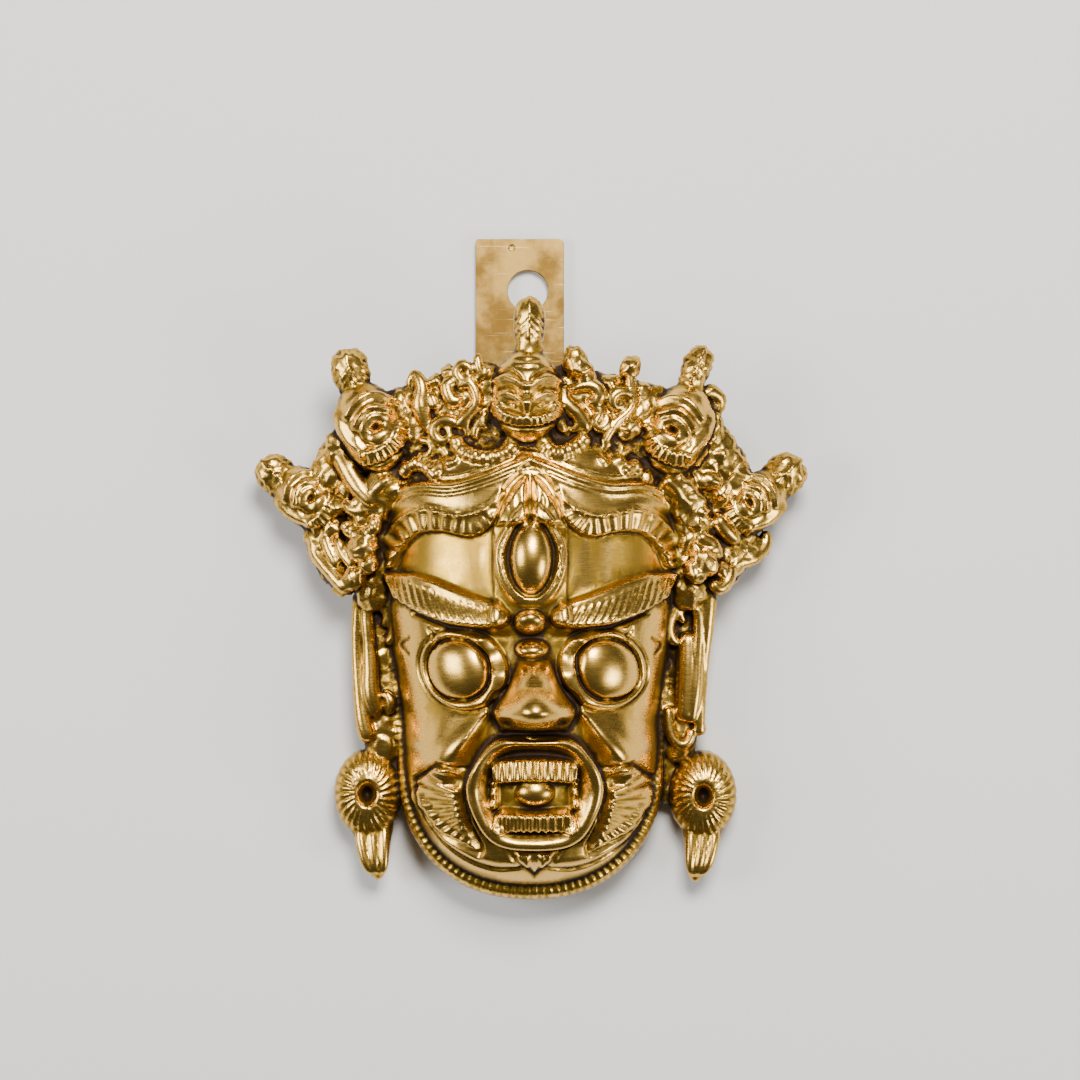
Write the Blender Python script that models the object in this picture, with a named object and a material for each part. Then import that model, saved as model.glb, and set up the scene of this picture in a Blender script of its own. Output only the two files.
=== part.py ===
"""A cast brass wall mask of a wrathful guardian, with the drilled strip that it hangs by.

The mask lies on its back: +X is to the right of the face, +Y towards the crown and +Z up, out of
the face. Carving coordinates are in carving units, of which the mask is CARVED_HEIGHT tall, so at
its real size one unit is one millimetre. Walls, the strip and its fit have sizes of their own.
"""

import math

import bpy
import numpy as np
from mathutils import Vector

# Driving dimensions, in metres
MASK_HEIGHT = 0.1344
WALL = 0.0032
CROWN_WALL = 0.012
STRIP_WIDTH = 0.020
STRIP_REACH = 0.0364
STRIP_THICKNESS = 0.002
STRIP_SIDE_SHIFT = -0.0023
HOLE_RADIUS = 0.0046
HOLE_FROM_TOP = 0.0117
HOLE_SIDE_SHIFT = 0.0018
FIT_GAP = 0.0003

# Mesh density, in metres and triangles
VOXEL = 0.00062
SAMPLE_STEP = 0.0007
MASK_TRIANGLES = 9300
SMOOTHING_STEPS = 2

CARVED_HEIGHT = 134.4
UNIT = MASK_HEIGHT / CARVED_HEIGHT
STEP = SAMPLE_STEP / UNIT
BACK_OVERRUN = 1.5
DEEPEST_CUT = 1.9

# The plain egg of the face: jaw, temples and the wall behind the crown
JAW_HALF_WIDTH = 29.0
TEMPLE_HALF_WIDTH = 34.0
FACE_DEPTH = 32.0
CHIN_Y = -73.0
JAW_Y = -42.0
BROW_Y = 12.0
TOP_Y = 38.0
ROUNDNESS = 2.3

BRASS = (0.72, 0.47, 0.16, 1.0)
STRIP_BRASS = (0.60, 0.43, 0.14, 1.0)


# Numbers and curves


def ease(t):
    """0 below 0, 1 above 1 and smooth between."""
    t = np.clip(t, 0.0, 1.0)
    return t * t * (3.0 - 2.0 * t)


def bump(t):
    """1 where t is 0, falling smoothly to 0 at 1 and beyond."""
    return np.clip(1.0 - t * t, 0.0, None) ** 2


def dome(x, y, centre, half):
    """A round swelling, 1 at its centre and 0 at the edge of its oval."""
    r2 = ((x - centre[0]) / half[0]) ** 2 + ((y - centre[1]) / half[1]) ** 2
    return np.sqrt(np.clip(1.0 - r2, 0.0, None))


def oval_radius(x, y, centre, half, point=0.0):
    """How far out a point lies of an oval, 1 on its line; point narrows its upper end."""
    up = (y - centre[1]) / half[1]
    across = half[0] * (1.0 - point * ease(up))
    return np.hypot((x - centre[0]) / across, up)


def smooth_path(points, steps=6):
    """A smooth curve through the points, as rows of an array."""
    points = np.asarray(points, float)
    guides = np.vstack([2 * points[0] - points[1], points, 2 * points[-1] - points[-2]])
    rows = []
    for a, b, c, d in zip(guides, guides[1:], guides[2:], guides[3:]):
        for t in np.arange(steps) / steps:
            rows.append(
                b + 0.5 * t * (c - a + t * (2 * a - 5 * b + 4 * c - d + t * (3 * b - 3 * c + d - a)))
            )
    rows.append(points[-1])
    return np.array(rows)


def along_path(x, y, points, steps=6):
    """For each place: its distance from a smooth path, and how far along the path it lies."""
    path = smooth_path(points, steps)
    nearest = np.full(x.shape, 1e9)
    travelled = np.zeros(x.shape)
    start = 0.0
    for a, b in zip(path, path[1:]):
        run = b - a
        length = math.hypot(*run)
        share = np.clip(((x - a[0]) * run[0] + (y - a[1]) * run[1]) / length**2, 0.0, 1.0)
        distance = np.hypot(x - a[0] - share * run[0], y - a[1] - share * run[1])
        closer = distance < nearest
        nearest = np.where(closer, distance, nearest)
        travelled = np.where(closer, start + share * length, travelled)
        start += length
    return nearest, travelled


def depth_inside(x, y, corners):
    """How far inside an outline each place lies; negative outside it."""
    corners = np.asarray(corners, float)
    nearest = np.full(x.shape, 1e9)
    inside = np.zeros(x.shape, bool)
    for a, b in zip(corners, np.roll(corners, -1, axis=0)):
        run = b - a
        share = np.clip(((x - a[0]) * run[0] + (y - a[1]) * run[1]) / (run @ run), 0.0, 1.0)
        nearest = np.minimum(nearest, np.hypot(x - a[0] - share * run[0], y - a[1] - share * run[1]))
        crosses = (a[1] > y) != (b[1] > y)
        if run[1]:
            inside ^= crosses & (x < a[0] + (y - a[1]) * run[0] / run[1])
    return np.where(inside, nearest, -nearest)


def ridge(x, y, points, width):
    """A rounded ridge along a path: 1 on its line, 0 at width from it."""
    return bump(along_path(x, y, points)[0] / width)


def ribs(distance, pitch, sharpness=1.0):
    """Rows of rounded ribs, 0 in the cuts between them and 1 on their tops."""
    return np.abs(np.sin(np.pi * distance / pitch)) ** sharpness


def crust(x, y, z, size):
    """A repeatable rough-cast surface, about -1 to 1, with lumps of the given size."""
    total = np.zeros(np.shape(x))
    for turn, gain in ((0.0, 1.0), (1.1, 0.8), (2.3, 0.6)):
        u = (x * math.cos(turn) + y * math.sin(turn)) / size
        v = (y * math.cos(turn) - x * math.sin(turn)) / size
        w = z / size + turn
        wave = np.sin(2.1 * u + 1.7 * np.sin(1.3 * v + w))
        total += gain * wave * np.sin(1.9 * v - 1.1 * w + np.sin(u))
    return total / 1.6


# The face


def face_egg(side, rise, inset, top_inset):
    """Points of the plain egg, side -1..1 across and rise -1..1 from chin to crown."""
    chin, top = CHIN_Y + inset, TOP_Y - top_inset
    middle, half = (chin + top) / 2, (top - chin) / 2
    y = middle + half * (0.6 * rise + 0.4 * np.sin(rise * np.pi / 2))
    high = min(BROW_Y, top - 12.0)
    fall = np.clip((JAW_Y - y) / (JAW_Y - chin), 0, None) + np.clip((y - high) / (top - high), 0, None)
    widening = TEMPLE_HALF_WIDTH - JAW_HALF_WIDTH
    half_width = JAW_HALF_WIDTH + widening * ease((y - JAW_Y) / (BROW_Y - 10 - JAW_Y)) - inset
    narrowing = np.clip(1 - fall**ROUNDNESS, 0, None)
    x = half_width * narrowing ** (1 / ROUNDNESS) * np.sin(side * np.pi / 2)
    height = np.clip(narrowing - np.abs(x / half_width) ** ROUNDNESS, 0, None) ** (1 / ROUNDNESS)
    return np.stack([x, y, (FACE_DEPTH - inset) * height], axis=-1)


def face_lean(y):
    """The nose and mouth sit a little to the right of the brow's middle."""
    return 1.1 * ease((-14.0 - y) / 14.0)


def third_eye(x, y):
    centre = (0.2, 2.9)
    boss = 2.4 * bump(oval_radius(x, y, (0.2, 2.5), (12.5, 15.0)))
    inner = oval_radius(x, y, centre, (5.9, 9.4), 0.25)
    outer = oval_radius(x, y, centre, (7.3, 10.9), 0.25)
    ball = dome(x, y, (0.2, 2.4), (4.4, 7.9))
    rims = 0.9 * bump((inner - 1) / 0.15) + 0.8 * bump((outer - 1) / 0.12)
    well = (inner < 1) * (1 - ball**0.3) * ease((11.2 - y) / 2.2)
    return boss + 2.4 * ball + rims - 1.1 * well


def brow_beads(x, y):
    upper = 4.4 * dome(x, y, (0.0, -11.8), (3.6, 2.9))
    lower = 4.4 * dome(x, y, (0.4, -17.6), (3.8, 2.2))
    hollow = 2.0 * bump(oval_radius(x, y, (0.2, -15.2), (9.0, 6.0)))
    return upper + lower - hollow


DIADEM_TOP = ((0.0, 23.6), (3.5, 22.6), (10.0, 20.0), (17.0, 18.2), (24.2, 18.4), (29.5, 16.2),
    (33.5, 10.6), (34.8, 1.0))
DIADEM_MIDDLE = ((6.2, 16.6), (8.0, 14.6), (10.7, 13.0), (15.7, 12.0), (22.5, 13.3), (27.6, 11.6),
    (31.0, 7.8), (32.4, 0.5))
DIADEM_LOW = ((6.8, 12.0), (8.2, 9.5), (11.3, 7.2), (14.5, 6.8), (19.6, 7.9), (24.8, 7.4), (28.6, 4.0),
    (30.2, 0.0))
PEAK = ((0.0, 22.2), (1.6, 20.2), (3.4, 18.4), (5.4, 15.6), (7.2, 12.6), (8.2, 9.0), (0.0, 9.0))


def diadem(x, y):
    """The crown's lower band across the forehead: two cords, a ribbed band and a leaf between."""
    ax = np.abs(x)
    top, _ = along_path(ax, y, DIADEM_TOP)
    middle, _ = along_path(ax, y, DIADEM_MIDDLE)
    low, run = along_path(ax, y, DIADEM_LOW)
    band = list(DIADEM_LOW) + list(reversed(DIADEM_MIDDLE))
    in_band = ease(depth_inside(ax, y, smooth_path(band, 3)) / 0.5)
    hoop = list(DIADEM_MIDDLE) + list(reversed(DIADEM_TOP))
    in_hoop = ease(depth_inside(ax, y, smooth_path(hoop, 3)) / 0.8)
    leaf = ease(depth_inside(ax, y, PEAK) / 1.6)
    cords = 1.3 * bump(top / 1.1) + 1.2 * bump(middle / 1.0) + 0.4 * bump((top - 2.0) / 0.5)
    ribbed = in_band * (0.9 + 0.7 * ribs(run, 2.2, 0.6))
    cut = -0.6 * bump(low / 0.6)
    petals = -0.6 * bump((y - 14.5) / 2.6) * (ax < 5.5) * (1 - ribs(x + 0.8, 1.8, 0.7))
    return 1.0 * in_hoop + cords + ribbed * (leaf < 0.5) + cut + leaf * (1.7 + petals)


BROW_LINE = ((6.6, -10.6), (9.5, -10.0), (16.0, -8.6), (22.0, -6.2), (27.0, -3.9), (30.6, -1.6))
BROW_HALF_HEIGHT = (2.6, 3.5, 4.3, 4.3, 3.6, 1.2)


def brows(x, y):
    """Flame brows: a polished upper edge with hair strokes combed down and inwards."""
    ax = np.abs(x)
    gap, run = along_path(ax, y, BROW_LINE)
    path = smooth_path(BROW_LINE)
    lengths = np.r_[0.0, np.cumsum(np.hypot(*np.diff(path, axis=0).T))]
    widths = np.interp(run, lengths[::6], BROW_HALF_HEIGHT)
    body = ease((widths - gap) / 1.1)
    middle = np.interp(ax, path[:, 0], path[:, 1])
    lean = 0.70 * (y - middle) - 0.012 * (y - middle) ** 2
    strokes = 1 - ribs(ax - lean, 1.65, 0.55)
    combed = ease((widths * 0.6 - (y - middle)) / 1.5) * (ax > 8.8)
    overhang = 1.4 * body * ease((middle + 2.0 - y) / 5.0)
    bud = 1.4 * dome(ax, y, (7.1, -9.6), (1.5, 3.0))
    return 2.0 * body + overhang - 0.95 * strokes * combed * body + bud


def eyes(x, y):
    """Bulging eyes in deep sockets, each inside a lid that is thickest beside the nose."""
    ax = np.abs(x)
    dx, dy = ax - 16.4, y + 22.2
    ball_r = (np.abs(dx / 6.6) ** 2.2 + np.abs(dy / 6.5) ** 2.2) ** (1 / 2.2)
    lid_r = np.hypot((ax - 15.3) / 10.1, (y + 22.1) / 9.2)
    ball = 2.7 * np.sqrt(np.clip(1 - ball_r**2, 0, None))
    trench = -1.5 * bump((ball_r - 1.03) / 0.09)
    lid = (0.6 + 1.1 * ease(-dx / 6.0)) * ease((ball_r - 1.04) / 0.12) * ease((1.0 - lid_r) / 0.10)
    line = -0.8 * bump((lid_r - 1.01) / 0.05)
    lash = -0.8 * ridge(ax, y, ((22.4, -13.4), (21.2, -15.4), (20.6, -17.4)), 0.5)
    corner = -0.7 * ridge(ax, y, ((27.2, -15.4), (29.2, -17.2), (27.6, -19.2)), 0.5)
    socket = -2.4 * bump(np.hypot((ax - 7.0) / 5.0, (y + 18.4) / 5.5))
    under_brow = -1.2 * ridge(ax, y, ((5.0, -14.9), (12.0, -14.2), (19.0, -12.4), (25.5, -9.8)), 1.3)
    return ball + trench + lid + line + lash + corner + socket + under_brow


NOSE_MIDDLE = 0.9
NOSE_Y = (-36.4, -35.4, -34.0, -32.0, -30.0, -27.0, -24.0, -21.6, -19.4)
NOSE_RISE = (0.0, 3.4, 8.0, 10.2, 10.2, 8.8, 6.8, 4.2, 0.0)
NOSE_HALF_WIDTH = (4.6, 6.2, 7.8, 8.4, 8.1, 6.3, 4.9, 4.0, 3.2)


def curve_value(y, places, values):
    """A smooth value that passes through the given values at rising places."""
    path = smooth_path(list(zip(places, values)), 8)
    return np.interp(y, path[:, 0], path[:, 1])


def nose(x, y):
    """A beak with a rounded ridge and tip, flared wings and open nostrils."""
    dx = x - NOSE_MIDDLE
    ax = np.abs(dx)
    reach = ax / curve_value(y, NOSE_Y, NOSE_HALF_WIDTH)
    rise = np.clip(curve_value(y, NOSE_Y, NOSE_RISE), 0, None)
    body = rise * np.clip(1.05 - reach**2, 0, None) ** 0.8
    tip = 2.4 * bump(np.hypot(dx / 5.2, (y + 31.0) / 5.2)) ** 0.5
    wings = 1.2 * bump(np.hypot((ax - 6.2) / 3.4, (y + 32.0) / 3.8))
    nostrils = -3.0 * bump(np.hypot((ax - 5.6) / 2.3, (y + 33.7) / 1.6))
    crease_path = ((6.2, -26.2), (8.8, -28.0), (9.7, -31.5), (8.7, -35.0), (6.0, -36.9), (0.0, -37.4))
    crease = -1.4 * ridge(ax, y, crease_path, 0.8)
    return body + tip + wings + nostrils + crease


def cheeks(x, y):
    """Full cheeks with a deep valley from the nose down round the mouth."""
    ax = np.abs(x - NOSE_MIDDLE)
    pad = 2.6 * bump(np.hypot((ax - 18.5) / 12.0, (y + 40.0) / 11.0))
    valley = -2.8 * ridge(ax, y, ((9.6, -34.5), (12.8, -40.2), (17.0, -46.6)), 2.9)
    crest = 0.7 * ridge(ax, y, ((9.8, -32.0), (14.6, -37.6), (20.0, -44.0)), 3.2)
    muzzle = 1.8 * bump(np.hypot(ax / 19.0, (y + 49.0) / 17.0))
    return pad + valley + crest + muzzle


MOUTH_Y = -48.6
MOUTH_HALF_WIDTH = 15.2
MOUTH_HALF_HEIGHT = 12.3
MOUTH_SLANT = 0.5
LIP_WIDTH = 3.6
TOOTH_PITCH = 1.55


def depth_in_mouth(dx, y):
    """How far inside the lips' outer edge a place lies; the edge has six blunt corners."""
    dy = np.abs(y - MOUTH_Y)
    slanted = (np.abs(dx) + MOUTH_SLANT * (np.sqrt(dy**2 + 9.0) - 1.5)) / MOUTH_HALF_WIDTH
    reach = ((dy / MOUTH_HALF_HEIGHT) ** 6 + slanted**6) ** (1 / 6)
    return (1 - reach) * MOUTH_HALF_HEIGHT


def rounded_box(x, y, centre, half, corner):
    """Distance outside a box with round corners; negative inside."""
    qx = np.abs(x - centre[0]) - half[0] + corner
    qy = np.abs(y - centre[1]) - half[1] + corner
    return np.hypot(np.maximum(qx, 0), np.maximum(qy, 0)) + np.minimum(np.maximum(qx, qy), 0) - corner


def mouth(x, y):
    """A snarling mouth: six-sided lips, two rows of teeth and a tongue."""
    dx = x - NOSE_MIDDLE
    ax = np.abs(dx)
    plate = depth_in_mouth(dx, y)
    lips = 2.2 * ease(plate / 0.7) + 1.0 * bump((plate - 1.3) / 1.5)
    groove = -1.5 * bump((plate + 0.7) / 1.0)
    pit = -3.6 * ease((plate - LIP_WIDTH + 1.5) / 1.9)
    cuts = 1 - ribs(dx, TOOTH_PITCH, 0.5)
    arch = y + 0.010 * dx**2
    upper = ease(-rounded_box(dx, arch, (0.0, -43.9), (9.3, 2.9), 2.2) / 0.9)
    lower = ease(-rounded_box(dx, y, (0.0, -54.8), (8.8, 2.5), 2.0) / 0.9)
    sides = ease(-rounded_box(ax, y, (8.7, -49.6), (1.2, 3.6), 1.0) / 0.9) * (0.6 + 0.4 * ribs(y, 2.4))
    teeth = np.maximum(np.maximum(upper, lower) * (3.9 - 1.7 * cuts), 2.4 * sides)
    tongue = 2.6 * dome(dx, y, (0.1, -49.0), (4.3, 2.9))
    slot = -1.2 * bump(np.hypot(dx / 5.2, (y + 52.6) / 0.8))
    return lips + groove + pit + teeth + tongue + slot


TUFT = ((15.9, -44.4), (20.0, -43.6), (26.2, -47.2), (24.8, -52.0), (20.6, -57.6), (12.0, -62.2),
    (15.0, -56.4), (16.4, -50.5))
JAW_GROOVE = ((26.8, -49.0), (25.0, -54.4), (20.6, -60.4), (15.2, -64.6), (9.0, -66.8), (3.4, -66.4))


def beard(x, y):
    """Flame tufts at the mouth's corners, the jaw's roll and the small tuft on the chin."""
    dx = x - NOSE_MIDDLE
    ax = np.abs(dx)
    inside = depth_inside(ax, y, TUFT)
    tuft = 1.1 * ease((inside + 0.3) / 1.2)
    turn = np.arctan2(y + 51.0, ax - 9.0)
    strokes = -1.0 * (1 - ribs(turn * 10.0, 1.7, 0.6)) * ease(inside / 0.8)
    edge = -1.5 * bump((inside + 0.5) / 0.9)
    roll_path = ((2.0, -64.0), (9.0, -64.0), (15.5, -61.4), (21.6, -56.6), (25.4, -51.0))
    roll = 1.4 * ridge(ax, y, roll_path, 2.6)
    groove = -1.3 * ridge(ax, y, JAW_GROOVE, 0.7)
    chin = -np.maximum(ax / 5.4 + (-61.6 - y) / 6.2 - 1, (y + 61.6) / 3.0)
    chin_tuft = 1.0 * ease(chin / 0.25) - 0.6 * (1 - ribs(dx + 0.8, 1.6, 0.7)) * (chin > 0.1)
    chin_edge = -0.9 * bump((chin + 0.12) / 0.2)
    return tuft + strokes + edge + roll + groove + chin_tuft + chin_edge


def face_relief(x, y):
    """How far the carving stands out of the plain egg."""
    relief = third_eye(x, y) + brow_beads(x, y) + diadem(x, y) + brows(x, y) + eyes(x - face_lean(y), y)
    relief = relief + nose(x, y) + cheeks(x, y) + beard(x, y) + mouth(x, y)
    panel = 1 - np.maximum(ease((np.abs(x) - 29.0) / 2.0), ease(np.abs(y - 1.5) / 9.0 - 0.4))
    relief = relief - 0.8 * panel * (np.abs(x) > 8)
    return np.where(relief < 0, -DEEPEST_CUT * np.tanh(-relief / DEEPEST_CUT), relief)


def hollow_relief(x, y):
    """The hollow follows the nose and the muzzle, so that the metal stays near one thickness."""
    dx = x - NOSE_MIDDLE
    behind_nose = 6.0 * bump(np.hypot(dx / 6.0, (y + 30.5) / 8.5))
    return behind_nose + 1.6 * bump(np.hypot(dx / 17.0, (y + 48.0) / 15.0))


def pushed_out(surface, relief):
    """A grid of points moved along its own normals."""
    normal = np.cross(np.gradient(surface, axis=1), np.gradient(surface, axis=0))
    length = np.linalg.norm(normal, axis=-1, keepdims=True)
    normal = np.where(length > 1e-9, normal / np.maximum(length, 1e-9), 0.0)
    return surface + normal * relief[..., None]


def face_shell():
    """The hollow face: carved egg outside, plainer egg inside, open at the back."""
    across = int(150 * 0.7 / STEP)
    up = int(210 * 0.7 / STEP)
    side, rise = np.meshgrid(np.linspace(-1, 1, across), np.linspace(-1, 1, up))
    outer = face_egg(side, rise, 0.0, 0.0)
    inner = face_egg(side, rise, WALL / UNIT, CROWN_WALL / UNIT)
    fade = ease(outer[..., 2] / 6.0) * ease((TOP_Y - 6 - outer[..., 1]) / 6.0)
    outer = pushed_out(outer, fade * face_relief(outer[..., 0], outer[..., 1]))
    inner = pushed_out(inner, hollow_relief(inner[..., 0], inner[..., 1]))
    return closed_shell(outer, inner)


def closed_shell(outer, inner):
    """Joins two surfaces with the same grid into one closed body with a flat back."""
    up, across = outer.shape[:2]
    count = up * across
    index = np.arange(count).reshape(up, across)
    rim = np.r_[index[0], index[1:, -1], index[-1, -2::-1], index[-2:0:-1, 0]]
    points = np.vstack([outer.reshape(-1, 3), inner.reshape(-1, 3)])
    skirt = points[np.r_[rim, rim + count]].copy()
    skirt[:, 2] = -BACK_OVERRUN
    outer_skirt = 2 * count + np.arange(len(rim))
    inner_skirt = outer_skirt + len(rim)
    quads = [grid_quads(index), grid_quads(index + count)[:, ::-1]]
    for low, high in ((outer_skirt, rim), (inner_skirt, outer_skirt), (rim + count, inner_skirt)):
        quads.append(np.stack([low, np.roll(low, -1), np.roll(high, -1), high], axis=1))
    return np.vstack([points, skirt]), np.vstack(quads)


def grid_quads(index):
    a, b, c, d = index[:-1, :-1], index[:-1, 1:], index[1:, 1:], index[1:, :-1]
    return np.stack([a, b, c, d], axis=-1).reshape(-1, 4)


# Bodies swept along a path or wrapped round a ball


def skin(rings):
    """A closed body through rings of points, with both ends capped."""
    rings = np.asarray(rings, float)
    rows, around = rings.shape[:2]
    points = np.vstack([rings.reshape(-1, 3), rings[0].mean(0), rings[-1].mean(0)])
    index = np.arange(rows * around).reshape(rows, around)
    index = np.hstack([index, index[:, :1]])
    quads = grid_quads(index)
    tail = rows * around
    caps = []
    for ring, hub, flip in ((index[0], tail, True), (index[-1], tail + 1, False)):
        for a, b in zip(ring, ring[1:]):
            caps.append((hub, b, a, a) if flip else (hub, a, b, b))
    return points, np.vstack([quads, caps])


def sweep(points, widths, depths=None, pitch=0.0, cut=0.0, rough=0.0, root=0.0, square=1.0):
    """A bar along a smooth path, ribbed at a pitch; its root reaches further in than out."""
    depths = widths if depths is None else depths
    path = smooth_path(points, 8)
    lengths = np.r_[0.0, np.cumsum(np.linalg.norm(np.diff(path, axis=0), axis=1))]
    rows = max(6, int(lengths[-1] / STEP))
    run = np.linspace(0, lengths[-1], rows)
    centre = np.stack([np.interp(run, lengths, path[:, k]) for k in range(3)], axis=1)
    tangent = np.gradient(centre, axis=0)
    tangent /= np.linalg.norm(tangent, axis=1, keepdims=True)
    out = np.array([0, 0, 1.0]) - tangent * tangent[:, 2:]
    out /= np.linalg.norm(out, axis=1, keepdims=True)
    side = np.cross(tangent, out)
    marks = np.linspace(0, lengths[-1], len(np.atleast_1d(widths)))
    width = np.interp(run, marks, np.atleast_1d(widths))[:, None, None]
    depth = np.interp(run, marks, np.atleast_1d(depths))[:, None, None]
    to_end = np.minimum(run, run[-1] - run)[:, None, None]
    rounding = np.sqrt(np.clip(1 - (1 - np.clip(to_end / width, 0, 1)) ** 2, 0.03, 1))
    width, depth = width * rounding, depth * rounding
    if pitch:
        squeeze = 1 - cut * (1 - ribs(run, pitch, 0.7))[:, None, None]
        width, depth = width * (0.4 + 0.6 * squeeze), depth * squeeze
    around = max(10, int(2 * math.pi * float(width.max()) / STEP))
    turn = np.linspace(0, 2 * math.pi, around, endpoint=False)[None, :, None]
    across = np.sign(np.cos(turn)) * np.abs(np.cos(turn)) ** square
    up = np.sign(np.sin(turn)) * np.abs(np.sin(turn)) ** square
    height = depth * up + root * np.minimum(up, 0)
    rings = centre[:, None] + side[:, None] * width * across + out[:, None] * height
    if rough:
        push = rough * crust(rings[..., 0], rings[..., 1], rings[..., 2], 1.6)[..., None]
        rings = rings + push * (out[:, None] * np.sin(turn) + side[:, None] * np.cos(turn))
    return skin(rings)


def ball(centre, half, tilt=0.0, relief=None, rough=0.0, taper=0.0, full=1.0):
    """An egg with its own up axis tilted in the mask's plane and carving on its front."""
    rows = max(8, int(math.pi * half[1] / STEP))
    around = max(12, int(2 * math.pi * half[0] / STEP))
    polar = np.linspace(-math.pi / 2, math.pi / 2, rows + 2)[1:-1, None]
    turn = np.linspace(0, 2 * math.pi, around, endpoint=False)[None, :]
    narrow = np.cos(polar) ** full * (1 - taper * (0.5 + 0.5 * np.sin(polar)))
    a = half[0] * np.cos(turn) * narrow
    b = half[1] * np.sin(polar) + 0.0 * turn
    c = half[2] * np.sin(turn) * narrow
    normal = np.stack([a / half[0] ** 2, b / half[1] ** 2, c / half[2] ** 2], axis=-1)
    normal /= np.linalg.norm(normal, axis=-1, keepdims=True)
    local = np.stack([a, b, c], axis=-1)
    if relief:
        local = local + normal * (relief(a, b) * ease(c / half[2] * 4.0))[..., None]
    if rough:
        local = local + normal * rough * crust(a + centre[0], b + centre[1], c, 1.3)[..., None]
    cos, sin = math.cos(tilt), math.sin(tilt)
    spun = np.stack(
        [
            local[..., 0] * cos - local[..., 1] * sin,
            local[..., 0] * sin + local[..., 1] * cos,
            local[..., 2],
        ],
        axis=-1,
    )
    return skin(spun + np.asarray(centre, float))


# The crown


def crown_front(x):
    """Height of the crown's ground above the back; the crown wraps round the forehead."""
    return 26.5 - 0.0066 * x * x


def forehead_height(x, y):
    """Height of the plain egg where it domes up behind the crown."""
    fall = max(0.0, (y - BROW_Y) / (TOP_Y - BROW_Y))
    left = 1 - min(1.0, fall) ** ROUNDNESS - (abs(x) / TEMPLE_HALF_WIDTH) ** ROUNDNESS
    return FACE_DEPTH * max(0.0, left) ** (1 / ROUNDNESS)


def ground_height(x, y):
    """Height of what carries the crown's ornaments: its ground, or the forehead where that is higher."""
    return max(crown_front(x), forehead_height(x, y) - 0.6)


def on_crown(points, lift):
    """Carving points laid on the crown's ground."""
    return [(x, y, ground_height(x, y) + lift) for x, y in points]


def middle_head_relief(a, b):
    """Laughing face: paired brows, almond eyes, a grin full of teeth."""
    ax = np.abs(a)
    wrinkles = -0.5 * ridge(ax, b, ((0.0, 7.6), (2.4, 7.9)), 0.45)
    wrinkles -= 0.5 * ridge(ax, b, ((0.0, 5.9), (2.2, 6.2)), 0.45)
    upper_cut = -1.0 * ridge(ax, b, ((0.9, 3.0), (2.2, 4.6), (4.2, 5.6), (6.9, 4.6)), 0.6)
    brow = 0.9 * ridge(ax, b, ((0.3, 1.9), (2.2, 3.2), (4.6, 4.0), (6.8, 3.2)), 0.9)
    lower_cut = -1.0 * ridge(ax, b, ((0.8, -0.4), (2.2, 1.0), (4.2, 2.0), (6.6, 1.4)), 0.6)
    lid = 0.7 * ridge(ax, b, ((0.5, -1.6), (2.2, -0.4), (4.2, 0.5), (6.4, -0.2)), 0.8)
    eye_r = oval_radius(ax, b + 0.22 * (3.2 - ax), (3.2, -2.5), (2.3, 1.0))
    eye = -1.1 * bump(eye_r / 1.3) + 0.9 * bump(eye_r / 0.5)
    snout = 1.0 * dome(a, b, (0.0, -2.0), (1.2, 2.6))
    grin = ((0.0, -5.5), (2.4, -5.3), (4.8, -4.4), (6.9, -2.5))
    gap, run = along_path(ax, b, grin)
    teeth = ease((1.3 - gap) / 0.35) * (0.3 + 0.9 * ribs(run, 1.15, 0.6))
    above = -0.7 * ridge(ax, b, ((0.0, -3.9), (2.6, -3.7), (5.0, -2.8)), 0.5)
    under = -1.3 * ridge(ax, b, ((0.0, -7.1), (2.8, -6.9), (5.4, -5.9)), 0.6)
    return wrinkles + upper_cut + brow + lower_cut + lid + eye + snout + teeth + above + under


def side_head_relief(a, b):
    """A head turned outwards: a drilled eye under stacked brows, and teeth curving to the cheek."""
    slit = np.hypot((a - 1.2) / 2.0, b + 0.5 - 0.15 * (a - 1.2))
    eye = -2.8 * bump(slit / 1.1) + 0.8 * dome(a, b, (1.6, -3.0), (3.4, 1.5))
    lids = ((-2.6, -0.4), (-1.0, 1.2), (1.4, 1.9), (3.9, 0.6))
    brow = ((-3.2, 1.4), (-1.0, 3.1), (1.6, 3.7), (4.9, 1.6))
    fold = ((-4.2, 4.0), (-0.9, 6.2), (3.2, 6.3), (6.4, 3.6))
    lines = ((0.5, 0.6, lids), (1.2, 0.9, brow), (1.0, 1.0, fold))
    raised = sum(gain * ridge(a, b, path, width) for gain, width, path in lines)
    profile = 1.0 * ridge(a, b, ((-6.3, 6.0), (-6.2, 0.6), (-4.2, -4.4)), 1.6)
    nose_side = -0.8 * ridge(a, b, ((-3.6, 0.0), (-3.2, -2.6), (-1.6, -4.0)), 0.7)
    gap, run = along_path(a, b, ((-4.6, -5.4), (-0.8, -6.2), (3.4, -5.4), (6.4, -2.6)))
    teeth = ease((1.7 - gap) / 0.4) * (0.2 + 1.1 * ribs(run, 1.3, 0.6))
    under = -1.2 * ridge(a, b, ((-3.8, -7.9), (-0.2, -8.3), (4.2, -7.3), (6.6, -5.4)), 0.6)
    return eye + raised + profile + nose_side + teeth + under


def topknot_relief(a, b):
    """Combed hair parted down the middle."""
    comb = np.abs(a) * 0.9 + b
    return -0.6 * (1 - ribs(comb, 1.7, 0.6)) * ease((2.6 - b) / 1.5) + 0.5 * bump(a / 0.9)


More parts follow.
